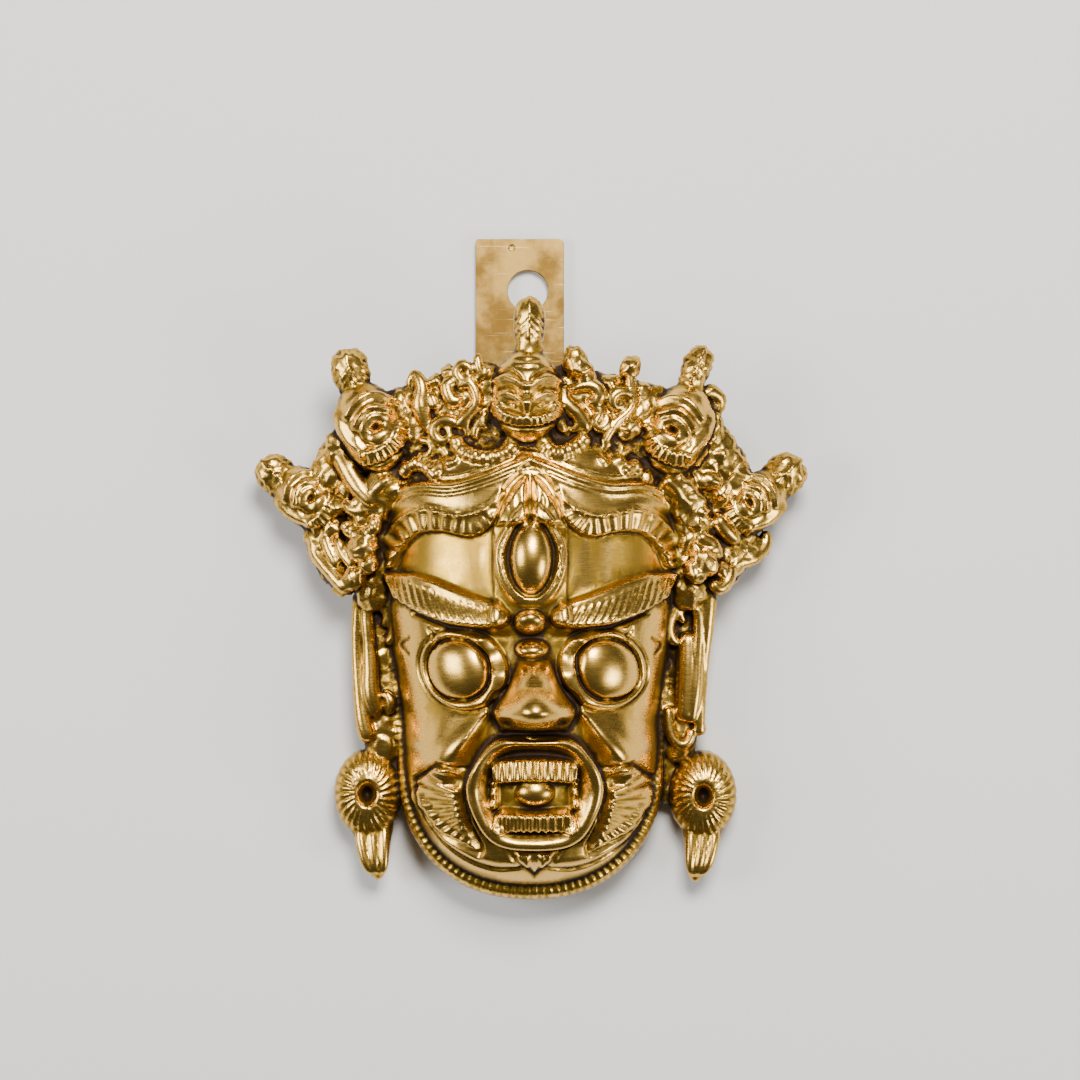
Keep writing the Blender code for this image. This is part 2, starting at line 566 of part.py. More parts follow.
CROWN_LINE = ((41.6, -4.6), (44.6, 4.0), (44.4, 13.5), (40.0, 22.0), (32.8, 28.4), (23.0, 32.0),
    (11.0, 34.2), (0.0, 35.4))
CROWN_HALF_WIDTH = (3.0, 5.6, 7.6, 9.0, 9.6, 9.8, 9.8, 9.8)
CROWN_HALF_DEPTH = 4.6
TEMPLE_FILL = (
    (-34.6, -9.5, 9.0), (-35.6, -1.0, 11.5), (-36.4, 8.0, 13.0),
    (-33.6, 16.0, 15.4), (-28.6, 22.0, 17.6),
)
TEMPLE_FILL_HALF_WIDTH = (3.4, 4.8, 4.8, 4.6, 4.0)

SKIRT_LINE = ((36.6, -2.0), (36.4, 8.0), (33.6, 16.4), (27.6, 21.4), (18.0, 23.2), (8.0, 25.4), (0.0, 26.8))

MIDDLE_HEAD = (-0.7, 38.0, 26.8)
MIDDLE_HEAD_HALF = (7.5, 10.3, 7.4)
MIDDLE_KNOT = (-0.2, 54.0, 27.0)
MIDDLE_KNOT_HALF = (3.6, 5.7, 3.8)

# For each side head: its side, place, tilt in degrees and size
SIDE_HEADS = (
    (-1, (-35.2, 31.4, 18.8), 24.0, 1.0),
    (1, (32.6, 30.8, 18.8), 20.0, 1.0),
    (-1, (-50.0, 15.4, 9.8), 47.0, 0.84),
    (1, (50.0, 14.4, 9.8), 48.0, 0.84),
)
# Their topknots: middle, half sizes and tilt in degrees
SIDE_KNOTS = (
    ((-40.0, 43.6, 18.6), (4.3, 5.2, 3.8), 14.0),
    ((36.9, 44.4, 18.6), (3.3, 5.2, 3.6), -22.0),
    ((-56.6, 20.4, 9.6), (4.4, 5.4, 3.6), 47.0),
    ((56.8, 20.6, 9.6), (4.8, 5.2, 3.6), -48.0),
)
SIDE_HEAD_HALF = (7.2, 10.4, 7.0)


def crown_ground():
    """The rough band that carries the heads, from one temple over the forehead to the other."""
    half = [(x, y, crown_front(x) - CROWN_HALF_DEPTH) for x, y in CROWN_LINE]
    whole = [(-x, y, z) for x, y, z in half] + [half[k] for k in range(len(half) - 2, -1, -1)]
    widths = list(CROWN_HALF_WIDTH) + list(CROWN_HALF_WIDTH[-2::-1])
    return sweep(whole, widths, [CROWN_HALF_DEPTH] * len(widths), rough=0.4, square=0.6)


def temple_fill():
    """Rough metal that closes the corner between the crown, the temple and the ear."""
    bodies = []
    for path in (TEMPLE_FILL, mirrored(TEMPLE_FILL)):
        depths = [4.4] * len(path)
        bodies.append(sweep(path, TEMPLE_FILL_HALF_WIDTH, depths, rough=0.5, root=4.0, square=0.7))
    return bodies


def crown_skirt():
    """Sloping metal between the crown's ground and the band across the forehead."""
    half = [(x, y, crown_front(x) - 5.4) for x, y in SKIRT_LINE]
    whole = mirrored(half) + list(reversed(half[:-1]))
    widths = [2.2, 3.0, 3.4, 3.4, 3.4, 3.4, 3.4, 3.0, 2.2]
    return sweep(whole, widths, [4.2] * 9, rough=0.3, root=6.0, square=0.7)


def crown_heads():
    bodies = [
        ball(MIDDLE_HEAD, MIDDLE_HEAD_HALF, 0.0, middle_head_relief, full=0.85),
        ball(MIDDLE_KNOT, MIDDLE_KNOT_HALF, 0.0, topknot_relief, full=0.6),
        sweep([MIDDLE_HEAD, MIDDLE_KNOT], [3.6, 3.0]),
    ]
    for hand, place, tilt, size in SIDE_HEADS:

        def relief(a, b, hand=hand, size=size):
            return size * side_head_relief(-hand * a / size, b / size)

        half = [size * value for value in SIDE_HEAD_HALF]
        bodies.append(ball(place, half, -hand * math.radians(tilt), relief, rough=0.12, full=0.85))
    for (place, half, tilt), (_, head, _, _) in zip(SIDE_KNOTS, SIDE_HEADS):
        bodies.append(ball(place, half, math.radians(tilt), topknot_relief, rough=0.25, full=0.6))
        bodies.append(sweep([head, place], [3.0, 2.8]))
    return bodies


# Curls in front of the crown's ground: the path they follow and their half widths along it
CURLS = (
    (((-22.3, 29.8), (-23.6, 33.4), (-24.3, 36.5), (-23.9, 39.6), (-24.8, 42.2), (-26.3, 44.0)),
        (0.5, 1.5, 2.2, 1.9, 1.5, 0.7)),
    (((-24.8, 42.7), (-26.3, 42.4), (-26.7, 40.7), (-25.9, 39.8)), (1.0, 0.9, 0.8, 0.5)),
    (((-22.1, 38.9), (-20.6, 35.1)), (1.2, 1.3)),
    (((-14.8, 37.6), (-17.0, 36.9), (-18.1, 38.9), (-18.3, 40.7), (-16.4, 41.3)),
        (1.0, 1.5, 1.6, 1.5, 1.1)),
    (((-12.4, 41.8), (-14.8, 41.5), (-16.1, 43.3), (-15.2, 45.1), (-13.5, 44.4), (-13.3, 42.9),
        (-14.6, 43.1)), (1.2, 1.2, 1.2, 1.2, 1.1, 0.9, 0.6)),
    (((-16.1, 40.0), (-13.7, 41.1), (-12.2, 39.3), (-11.7, 36.9), (-13.0, 34.7), (-14.8, 32.9),
        (-15.9, 30.7)), (0.9, 1.3, 1.3, 1.2, 1.2, 1.3, 0.9)),
    (((-15.7, 31.4), (-17.5, 32.7), (-19.4, 32.9), (-21.0, 31.6), (-21.2, 29.6), (-19.7, 28.1),
        (-18.1, 29.0), (-18.1, 30.7), (-19.4, 31.4)), (1.0, 1.2, 1.3, 1.4, 1.5, 1.3, 1.0, 0.7, 0.5)),
    (((-9.5, 34.7), (-11.3, 32.5), (-12.2, 30.1), (-11.9, 28.5)), (0.6, 0.8, 0.9, 0.6)),
    (((-10.2, 36.5), (-12.8, 34.3), (-14.1, 31.6), (-13.9, 29.0)), (0.5, 0.7, 0.7, 0.5)),
    (((-9.5, 30.7), (-10.6, 32.0), (-9.7, 33.4)), (0.7, 0.9, 0.6)),
    (((-24.8, 28.3), (-22.5, 28.1), (-21.7, 26.3), (-23.0, 24.8), (-25.0, 25.4)),
        (0.8, 0.9, 0.9, 0.9, 0.6)),
    (((-11.7, 47.5), (-11.3, 44.4), (-10.2, 41.8)), (0.8, 1.1, 0.8)),
    (((8.0, 40.4), (7.3, 37.8), (8.6, 35.8), (10.4, 34.3), (11.7, 32.3), (12.6, 29.8)),
        (1.0, 1.5, 1.8, 1.8, 1.7, 1.2)),
    (((9.1, 39.3), (10.8, 40.2), (13.3, 40.4), (15.0, 39.3), (15.2, 37.8), (13.9, 36.7), (12.6, 37.6)),
        (0.8, 1.0, 1.3, 1.7, 1.7, 1.3, 0.7)),
    (((13.7, 35.4), (15.5, 35.1), (15.2, 33.6), (14.4, 32.3), (15.2, 30.9), (16.8, 32.0),
        (17.2, 34.3)), (0.9, 1.1, 1.1, 1.1, 1.2, 1.0, 0.6)),
    (((7.1, 36.0), (6.6, 32.9), (7.5, 29.8)), (0.8, 1.3, 0.9)),
    (((8.6, 34.7), (10.4, 32.9), (9.9, 30.9), (8.4, 30.7)), (0.6, 0.9, 0.9, 0.6)),
    (((22.1, 43.1), (22.5, 39.6), (22.8, 36.9), (21.4, 34.5), (19.0, 32.5), (17.5, 29.8),
        (15.9, 27.4)), (1.3, 1.1, 1.0, 1.0, 1.0, 1.0, 0.9)),
    (((22.5, 37.6), (21.0, 38.9), (19.2, 38.9), (18.1, 37.6), (18.6, 35.8), (20.1, 36.0),
        (20.3, 37.3)), (0.9, 1.3, 1.4, 1.4, 1.2, 0.9, 0.6)),
    (((15.7, 26.5), (17.9, 27.8)), (0.8, 0.9)),
    (((37.8, 38.7), (40.2, 39.3), (42.2, 37.8), (42.0, 35.8), (40.4, 35.1)), (1.3, 1.7, 1.7, 1.3, 0.8)),
    (((38.2, 34.0), (40.7, 34.0), (41.5, 31.6), (40.4, 29.2), (38.9, 30.1)), (1.2, 1.6, 1.7, 1.5, 0.8)),
    (((38.5, 30.7), (37.6, 26.3), (35.8, 23.0)), (1.3, 2.0, 1.5)),
    (((36.9, 15.5), (34.9, 14.8), (33.8, 16.6), (34.9, 18.1), (36.7, 17.5)), (0.8, 1.1, 1.2, 1.2, 0.9)),
    (((41.5, 11.9), (43.3, 8.8), (46.6, 5.7)), (1.6, 2.0, 1.6)),
    (((45.1, 12.8), (47.1, 9.7), (49.5, 7.3)), (1.3, 1.6, 1.2)),
    (((37.1, 7.3), (40.2, 5.7), (42.4, 2.7)), (1.1, 1.7, 1.4)),
    (((53.0, 8.4), (52.8, 5.1), (50.2, 2.2), (46.6, 1.1)), (1.2, 1.6, 1.5, 1.1)),
    (((44.9, 0.7), (44.4, -2.4), (42.2, -4.6), (40.4, -2.9)), (1.2, 1.5, 1.5, 1.0)),
    (((-43.3, 26.7), (-40.7, 22.3), (-38.0, 17.9), (-34.5, 14.1)), (2.2, 2.6, 2.4, 1.6)),
    (((-42.0, 14.8), (-39.3, 13.0), (-35.8, 13.0)), (1.2, 1.6, 1.1)),
    (((-46.2, 7.7), (-44.9, 4.2), (-42.9, 0.2)), (1.3, 1.6, 1.2)),
    (((-43.3, 6.9), (-41.8, 3.3), (-39.3, 0.2)), (1.0, 1.3, 1.0)),
    (((-49.1, 8.6), (-48.0, 3.3), (-44.4, -1.1), (-40.7, -5.1)), (1.2, 1.6, 1.7, 1.6)),
    (((-31.6, 20.1), (-34.0, 17.7), (-36.2, 15.2)), (1.6, 1.8, 1.2)),
    (((29.6, 20.1), (32.3, 17.9), (34.0, 14.8)), (1.4, 1.6, 1.1)),
)

# Ribbed swags: points on the crown and half width
SWAGS = (
    (((-16.4, 29.6), (-15.9, 27.0), (-13.7, 25.2), (-10.2, 24.3), (-6.6, 24.8), (-4.4, 26.5),
        (-4.4, 29.0)), 1.9),
    (((2.4, 30.3), (3.3, 27.0), (5.7, 25.2), (8.4, 25.9), (10.8, 27.4), (12.6, 29.8)), 2.0),
    (((-28.5, 20.3), (-26.5, 22.8), (-23.2, 22.8), (-20.1, 19.9)), 1.8),
    (((-41.8, 10.4), (-39.8, 8.0), (-37.1, 7.5), (-34.7, 9.1), (-34.3, 11.5)), 1.6),
    (((20.3, 20.6), (23.0, 23.0), (24.3, 21.0)), 1.4),
)

# Lumps that break up the crown's ground: place, radius and how far they rise
LUMPS = (
    ((10.4, 44.6), 2.8, 0.9), ((9.9, 46.9), 2.2, 0.4), ((11.7, 42.7), 2.2, 0.6), ((22.1, 44.6), 2.2, 1.0),
    ((-26.1, 37.8), 1.8, 0.2), ((-20.6, 41.3), 1.8, -0.2), ((-17.5, 43.1), 2.0, -0.2), ((-9.7, 43.1),
        2.4, -0.4),
    ((-9.5, 40.4), 1.6, -0.2), ((-17.7, 35.1), 1.8, -0.4), ((-18.6, 25.9), 2.0, 0.0), ((-16.4, 23.2),
        2.2, 0.0),
    ((-19.9, 22.3), 2.0, -0.2), ((-13.3, 22.3), 1.8, -0.4), ((-7.5, 22.8), 1.8, -0.4), ((-1.1, 23.2),
        2.4, 0.0),
    ((2.9, 22.3), 1.6, -0.2), ((17.9, 40.9), 1.8, -0.2), ((16.6, 38.7), 1.6, -0.4), ((21.7, 30.9),
        2.6, 0.6),
    ((24.5, 39.1), 2.0, -0.2), ((25.0, 35.1), 2.0, -0.2), ((15.5, 23.2), 2.0, -0.2), ((19.0, 23.2),
        2.0, 0.0),
    ((21.7, 21.9), 1.6, 0.2), ((12.4, 23.2), 1.6, -0.4), ((25.4, 19.7), 1.8, 0.2), ((-28.7, 37.3),
        2.2, -0.4),
    ((-27.8, 34.7), 2.0, -0.2), ((-42.9, 25.9), 2.8, 1.0), ((-43.5, 21.0), 2.4, 0.2), ((-40.9, 17.9),
        2.4, 0.2),
    ((-38.5, 14.4), 2.0, 0.4), ((-42.9, 13.7), 2.2, 0.4), ((-45.5, 11.5), 2.4, 0.6), ((-44.2, 8.6),
        2.0, 0.4),
    ((-37.3, 4.6), 3.2, 1.0), ((-40.4, 4.2), 2.0, 0.4), ((-36.2, 0.9), 2.2, 0.2), ((-39.3, -2.2),
        2.6, 0.4),
    ((42.2, 25.2), 2.6, 0.8), ((43.1, 21.9), 2.2, 0.8), ((40.4, 23.2), 1.8, 0.4), ((40.0, 19.7),
        2.2, 0.4),
    ((45.5, 19.7), 2.0, 0.2), ((42.4, 16.6), 1.8, -0.4), ((38.0, 19.7), 1.8, 0.0), ((37.6, 12.6),
        1.6, -0.4),
    ((36.9, 9.9), 2.0, 0.2), ((38.9, 1.5), 3.0, 1.0), ((40.2, 3.8), 2.2, 0.8), ((36.7, -0.7), 2.4, 0.4),
    ((37.3, 4.2), 2.0, 0.2), ((48.2, 3.3), 2.2, 0.6), ((50.4, 4.9), 1.8, 0.2), ((42.4, -0.2), 2.0, 0.4),
    ((40.1, 36.8), 2.4, -1.0),
)


def scattered_lumps(count):
    """Small rough lumps spread along the crown's ground by the golden ratio."""
    half = smooth_path(CROWN_LINE, 8)
    for k in range(count):
        place = half[int(len(half) * ((k * 0.618) % 1.0))]
        reach = 7.5 * math.sin(2.4 * k) * (0.6 + 0.4 * min(1.0, abs(place[1]) / 20))
        inward = Vector((-place[0], -place[1])).normalized()
        x, y = place[0] + inward[0] * reach, place[1] + inward[1] * reach
        yield ((x if k % 2 else -x, y), 1.1 + 0.5 * math.sin(1.7 * k), -0.2)


def crown_ornaments():
    bodies = []
    for path, widths in CURLS:
        bodies.append(sweep(on_crown(path, 0.4), widths, root=2.5))
    for points, half_width in SWAGS:
        widths = [half_width, half_width]
        bodies.append(sweep(on_crown(points, 0.4), widths, pitch=1.75, cut=0.34, root=2.0))
    for (x, y), radius, lift in list(LUMPS) + list(scattered_lumps(46)):
        place = (x, y, ground_height(x, y) - 1.2 + lift)
        bodies.append(ball(place, (radius, radius * 1.25, radius * 1.1), 0.1 * x, rough=0.35))
    return bodies


# Ears, earrings and the corded edge

# Tubes of each ear: path, half widths
LEFT_EAR = (
    (((-38.2, -4.0,10.5), (-35.6, -2.9,11.5), (-33.1, -4.5,12), (-31.3, -7.9,12), (-30.6, -11.5,11.5),
        (-30.8, -15.1,11), (-32.4, -17.1,10.5)), (1.6, 1.5, 1.5, 1.4, 1.3, 1.2, 0.9)),
    (((-38.2, -5.2,10), (-38.9, -10.8,9.5), (-39.1, -18.7,9), (-38.5, -27.7,9), (-37.6, -34.4,9),
        (-36.2, -39.1,8.5)), (1.6, 1.3, 1.2, 1.3, 1.7, 2.2)),
    (((-32.9, -13.3,10.5), (-32.2, -10.6,11), (-33.5, -8.1,11), (-35.3, -7.4,11), (-36.7, -9.2,10.5),
        (-36.5, -14.2,10.5), (-36.0, -20.9,10), (-35.8, -27.7,10), (-34.6, -33.5,9.5)),
     (0.8, 1.2, 1.4, 1.5, 1.4, 1.8, 1.9, 2.0, 1.5)),
    (((-32.9, -27.7,10), (-31.5, -29.9,10), (-31.9, -33.1,9.5)), (0.9, 1.3, 0.9)),
)
RIGHT_EAR = (
    (((32.9, -8.3,11), (33.8, -5.6,11.5), (36.2, -3.6,12), (39.1, -3.1,11.5), (40.1, -5.6,10.5),
        (39.8, -10.1,10), (39.4, -16.4,9.5), (38.7, -25.4,9), (38.2, -32.2,9), (38.0, -37.8,8.5)),
     (1.2, 1.4, 1.6, 1.9, 1.7, 1.3, 1.1, 1.1, 1.2, 1.6)),
    (((32.9, -8.3,11), (31.7, -10.1,11.5), (30.8, -13.1,11.5), (31.7, -15.8,11), (33.5, -17.1,10.5)),
        (1.3, 1.6, 1.6, 1.4, 0.9)),
    (((34.6, -12.4,10.5), (33.5, -10.3,11), (34.2, -8.3,11), (36.0, -7.7,11), (37.4, -9.2,11),
        (37.8, -13.1,10.5), (37.4, -20.9,10), (36.9, -27.7,10), (36.0, -34.9,9.5)),
     (0.8, 1.1, 1.2, 1.3, 1.4, 1.5, 1.6, 1.6, 1.3)),
    (((35.3, -14.2,9), (35.3, -20.9,9), (35.1, -27.7,9), (34.6, -34.9,9)), (2.0, 2.5, 2.5, 2.3)),
    (((31.1, -31.1,9.5), (31.1, -34.9,9.5), (32.2, -38.5,9.5), (34.4, -39.8,9.5), (36.0, -38.2,9.5),
        (36.0, -36.0,9.5)), (1.0, 1.2, 1.3, 1.3, 1.1, 0.8)),
)
EAR_PLATE = ((-34.2, -2.9,6), (-34.4, -9.7,6), (-34.2, -20.9,6), (-33.5, -32.2,6), (-33.1, -44.2,6))
EAR_PLATE_HALF_WIDTH = (3.4, 4.6, 4.6, 4.4, 4.0)
LOBE_WEB = ((-31.2, -36.0, 4.6), (-30.4, -45.0, 4.4), (-30.6, -53.5, 4.2))

EARRING = (-36.7, -50.8, 5.0)
EARRING_HALF = (7.7, 9.9)
EARRING_DOME = 5.2
EARRING_BASE_DEPTH = 4.0
FLUTES = 26
LEFT_PENDANT = ((-35.8, -54.0, 4.4), (-35.5, -61.0, 6.2), (-34.8, -66.0, 6.5), (-34.2, -70.4, 6.0))
RIGHT_PENDANT = ((38.9, -54.0, 4.4), (38.6, -61.0, 6.2), (37.7, -66.2, 6.5), (36.9, -70.9, 6.0))
PENDANT_HALF_WIDTH = (5.2, 4.6, 3.2, 1.0)


def mirrored(points):
    return [(-x, y, z) for x, y, z in points]


def earring(centre):
    """A fluted rosette, domed, with a funnel-like pit at its middle."""
    rows = max(8, int(EARRING_HALF[0] * 1.4 / STEP))
    around = max(FLUTES * 3, int(2 * math.pi * EARRING_HALF[1] / STEP))
    turn = np.linspace(0, 2 * math.pi, around, endpoint=False)
    rings = []
    for reach in np.linspace(1.0, 0.02, rows):
        height = EARRING_DOME * (1 - reach**3.0) ** 0.5 * (1 - 0.8 * float(bump(reach / 0.34)))
        bend = turn + 0.25 * (1 - reach)
        depth = 1.1 * float(ease((reach - 0.08) / 0.15)) * (0.4 + 0.6 * float(ease((1.08 - reach) / 0.3)))
        flute = depth * (1 - ribs(bend, 2 * math.pi / FLUTES, 0.6))
        edge = 1 - 0.03 * (1 - ribs(bend, 2 * math.pi / FLUTES, 0.6))
        ring = [
            centre[0] + EARRING_HALF[0] * reach * edge * np.cos(turn),
            centre[1] + EARRING_HALF[1] * reach * edge * np.sin(turn),
            centre[2] + 1.2 + height - flute,
        ]
        rings.append(np.stack(ring, axis=1))
    back = rings[0].copy()
    back[:, 2] = centre[2] - EARRING_BASE_DEPTH
    return skin([back] + rings)


def ears():
    bodies = [earring(EARRING), earring((2.2 - EARRING[0], EARRING[1] - 0.4, EARRING[2]))]
    for path, widths in LEFT_EAR + RIGHT_EAR:
        bodies.append(sweep(path, widths, root=3.0))
    for plate in (EAR_PLATE, mirrored(EAR_PLATE)):
        bodies.append(sweep(plate, EAR_PLATE_HALF_WIDTH, [3.2] * 5, rough=0.25))
    for web in (LOBE_WEB, mirrored(LOBE_WEB)):
        bodies.append(sweep(web, [2.6, 3.0, 2.6], [2.6] * 3, rough=0.3))
    for path in (LEFT_PENDANT, RIGHT_PENDANT):
        bodies.append(sweep(path, PENDANT_HALF_WIDTH, (3.0, 2.8, 2.4, 1.6)))
        for shift in (-0.55, 0.0, 0.55):
            vein = [(x + shift * w, y - 1.5, z + 2.2) for (x, y, z), w in zip(path, PENDANT_HALF_WIDTH)]
            end = (path[3][0], path[3][1] + 1.5, path[3][2] + 0.8)
            bodies.append(sweep(vein[:3] + [end], (1.0, 1.3, 1.1, 0.6)))
    return bodies


EDGE_INSET = 1.3


def corded_edge():
    """The ribbed cord along the jaw's outline, from one ear round the chin to the other."""
    points = []
    for angle in np.linspace(0.0, math.pi, 19):
        share = math.copysign(abs(math.cos(angle)) ** (2 / ROUNDNESS), -math.cos(angle))
        x = share * (JAW_HALF_WIDTH - EDGE_INSET)
        y = JAW_Y - (JAW_Y - CHIN_Y - EDGE_INSET) * math.sin(angle) ** (2 / ROUNDNESS)
        points.append((x, y, 6.4 + 1.8 * math.sin(angle)))
    upper = [(-30.4, -20.0, 6.5), (-29.6, -31.0, 6.0)]
    path = upper + points + mirrored(reversed(upper))
    widths = [1.4, 2.3, 2.7, 2.8, 3.0, 2.8, 2.7, 2.3, 1.4]
    depths = [3.0, 3.6, 4.4, 5.4, 5.8, 5.4, 4.4, 3.6, 3.0]
    return sweep(path, widths, depths, pitch=1.6, cut=0.14, square=0.8)


# Objects


def brass(name, colour, roughness):
    material = bpy.data.materials.new(name)
    material.use_nodes = True
    shader = material.node_tree.nodes["Principled BSDF"]
    shader.inputs["Base Color"].default_value = colour
    shader.inputs["Metallic"].default_value = 1.0
    shader.inputs["Roughness"].default_value = roughness
    return material


def add_object(name, points, faces, material=None):
    """An object from points in metres and faces of three or four corners."""
    mesh = bpy.data.meshes.new(name)
    corners = [tuple(dict.fromkeys(face)) for face in np.asarray(faces).tolist()]
    mesh.from_pydata(np.asarray(points).tolist(), [], corners)
    mesh.update()
    made = bpy.data.objects.new(name, mesh)
    bpy.context.scene.collection.objects.link(made)
    if material:
        mesh.materials.append(material)
    return made


def box_cutter(name, low, high):
    """A hidden box that a Boolean cuts away, between two corners in metres."""
    size = [b - a for a, b in zip(low, high)]
    bpy.ops.mesh.primitive_cube_add(size=1)
    cutter = bpy.context.object
    cutter.name = name
    cutter.data.transform(
        ((size[0], 0, 0, 0), (0, size[1], 0, 0), (0, 0, size[2], 0), (0, 0, 0, 1))
    )
    cutter.location = [(a + b) / 2 for a, b in zip(low, high)]
    cutter.hide_render = True
    cutter.display_type = "WIRE"
    return cutter


def cut_away(target, cutter):
    cut = target.modifiers.new("cut_" + cutter.name, "BOOLEAN")
    cut.operation = "DIFFERENCE"
    cut.solver = "EXACT"
    cut.object = cutter


def fused(bodies):
    """Many overlapping closed bodies as one list of points in metres and one of faces."""
    points, faces, start = [], [], 0
    for body_points, body_faces in bodies:
        points.append(body_points)
        faces.append(body_faces + start)
        start += len(body_points)
    return np.vstack(points) * UNIT, np.vstack(faces)


def strip_corners(gap):
    """Lowest and highest corner of the strip, or of its seat when it is given a gap."""
    foot = TOP_Y * UNIT - CROWN_WALL + WALL
    left = STRIP_SIDE_SHIFT - STRIP_WIDTH / 2
    low = (left - gap, foot - gap, 0.0)
    high = (left + STRIP_WIDTH + gap, TOP_Y * UNIT + STRIP_REACH + gap, STRIP_THICKNESS + gap)
    return low, high


def make_mask(material):
    bodies = [face_shell(), corded_edge(), crown_ground(), crown_skirt()] + temple_fill()
    bodies += crown_heads() + crown_ornaments() + ears()
    mask = add_object("mask", *fused(bodies), material)
    cast = mask.modifiers.new("cast_as_one", "REMESH")
    cast.mode = "VOXEL"
    cast.voxel_size = VOXEL
    soften = mask.modifiers.new("soften", "SMOOTH")
    soften.factor = 0.5
    soften.iterations = SMOOTHING_STEPS
    bake_modifiers(mask)
    keep_largest_body(mask)
    thin = mask.modifiers.new("fewer_faces", "DECIMATE")
    thin.ratio = MASK_TRIANGLES / (2 * len(mask.data.polygons))
    thin.use_collapse_triangulate = True
    reach = MASK_HEIGHT
    cut_away(mask, box_cutter("back_plane", (-reach, -reach, -reach), (reach, reach, 0.0)))
    low, high = strip_corners(FIT_GAP)
    cut_away(mask, box_cutter("strip_seat", (low[0], low[1], -WALL), high))
    return mask


def bake_modifiers(target):
    """Turns the object's modifiers into its mesh."""
    graph = bpy.context.evaluated_depsgraph_get()
    mesh = bpy.data.meshes.new_from_object(target.evaluated_get(graph))
    target.modifiers.clear()
    old, target.data = target.data, mesh
    bpy.data.meshes.remove(old)
    mesh.name = target.name


def keep_largest_body(target):
    """Drops the small closed pockets that fusing can leave inside the metal."""
    mesh = target.data
    ends = np.empty(len(mesh.edges) * 2, np.int32)
    mesh.edges.foreach_get("vertices", ends)
    ends = ends.reshape(-1, 2)
    label = np.arange(len(mesh.vertices))
    while True:
        lowest = np.minimum(label[ends[:, 0]], label[ends[:, 1]])
        before = label.copy()
        np.minimum.at(label, ends[:, 0], lowest)
        np.minimum.at(label, ends[:, 1], lowest)
        label = label[label]
        if (label == before).all():
            break
    values, counts = np.unique(label, return_counts=True)
    keep = label == values[counts.argmax()]
    if keep.all():
        return
    corners = np.empty(len(mesh.polygons) * 4, np.int32)
    mesh.polygons.foreach_get("vertices", corners)
    corners = corners.reshape(-1, 4)
    corners = corners[keep[corners[:, 0]]]
    points = np.empty(len(mesh.vertices) * 3, np.float32)
    mesh.vertices.foreach_get("co", points)
    renumber = np.cumsum(keep) - 1
    mesh.clear_geometry()
    mesh.from_pydata(points.reshape(-1, 3)[keep].tolist(), [], renumber[corners].tolist())
    mesh.update()


def make_strip(material):
    low, high = strip_corners(0.0)
    bpy.ops.mesh.primitive_cube_add(size=1)
    strip = bpy.context.object
    strip.name = "hanging_strip"
    strip.data.transform(
        (
            (STRIP_WIDTH, 0, 0, 0),
            (0, high[1] - low[1], 0, 0),
            (0, 0, STRIP_THICKNESS, 0),
            (0, 0, 0, 1),
        )
    )
    strip.location = [(a + b) / 2 for a, b in zip(low, high)]
    strip.data.materials.append(material)
    bpy.ops.mesh.primitive_cylinder_add(vertices=48, radius=HOLE_RADIUS, depth=4 * STRIP_THICKNESS)
    drill = bpy.context.object
    drill.name = "strip_hole"
    drill.location = (STRIP_SIDE_SHIFT + HOLE_SIDE_SHIFT, high[1] - HOLE_FROM_TOP, STRIP_THICKNESS / 2)
    drill.hide_render = True
    drill.display_type = "WIRE"
    cut_away(strip, drill)
    return strip


def stand_on_origin(objects):
    """Parents everything to an empty that puts the origin under the middle of the whole."""
    bpy.context.view_layer.update()
    graph = bpy.context.evaluated_depsgraph_get()
    corners = []
    for made in objects:
        shown = made.evaluated_get(graph)
        corners += [shown.matrix_world @ Vector(corner) for corner in shown.bound_box]
    low = [min(corner[k] for corner in corners) for k in range(3)]
    high = [max(corner[k] for corner in corners) for k in range(3)]
    middle = bpy.data.objects.new("middle", None)
    bpy.context.scene.collection.objects.link(middle)
    for made in bpy.data.objects:
        if made != middle:
            made.parent = middle
    middle.location = (-(low[0] + high[0]) / 2, -(low[1] + high[1]) / 2, 0.0)


def main():
    for old in list(bpy.data.objects):
        bpy.data.objects.remove(old, do_unlink=True)
    mask = make_mask(brass("cast_brass", BRASS, 0.3))
    strip = make_strip(brass("strip_brass", STRIP_BRASS, 0.45))
    stand_on_origin([mask, strip])


main()
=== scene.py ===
"""The looks of a cast brass mask of a wrathful guardian, which lies on its back on a pale floor.

The mask's carving is modelled again in fine detail from the sizes that its solids have, in carving
units of one millimetre. It stands for the solid called mask, and the strip that it hangs by stands
for the solid called hanging_strip. Patina lies in the carving's hollows, and the high spots shine.
"""

import math

import bmesh
import bpy
import numpy as np
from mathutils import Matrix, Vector


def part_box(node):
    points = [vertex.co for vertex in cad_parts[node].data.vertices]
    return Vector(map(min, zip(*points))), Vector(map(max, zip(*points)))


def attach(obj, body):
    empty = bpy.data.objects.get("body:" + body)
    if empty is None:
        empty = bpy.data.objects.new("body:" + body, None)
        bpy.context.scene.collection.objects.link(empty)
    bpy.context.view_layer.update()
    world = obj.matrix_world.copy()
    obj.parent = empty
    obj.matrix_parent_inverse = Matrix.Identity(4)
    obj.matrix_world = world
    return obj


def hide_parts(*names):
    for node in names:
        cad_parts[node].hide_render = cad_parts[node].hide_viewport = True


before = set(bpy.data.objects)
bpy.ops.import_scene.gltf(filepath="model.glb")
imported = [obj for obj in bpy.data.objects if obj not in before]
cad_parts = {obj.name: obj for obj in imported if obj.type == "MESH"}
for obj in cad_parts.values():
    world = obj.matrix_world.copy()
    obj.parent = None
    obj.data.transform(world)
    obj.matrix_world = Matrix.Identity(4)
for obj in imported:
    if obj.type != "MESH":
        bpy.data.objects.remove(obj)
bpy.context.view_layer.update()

# Sizes in metres
MASK_HEIGHT = 0.1344
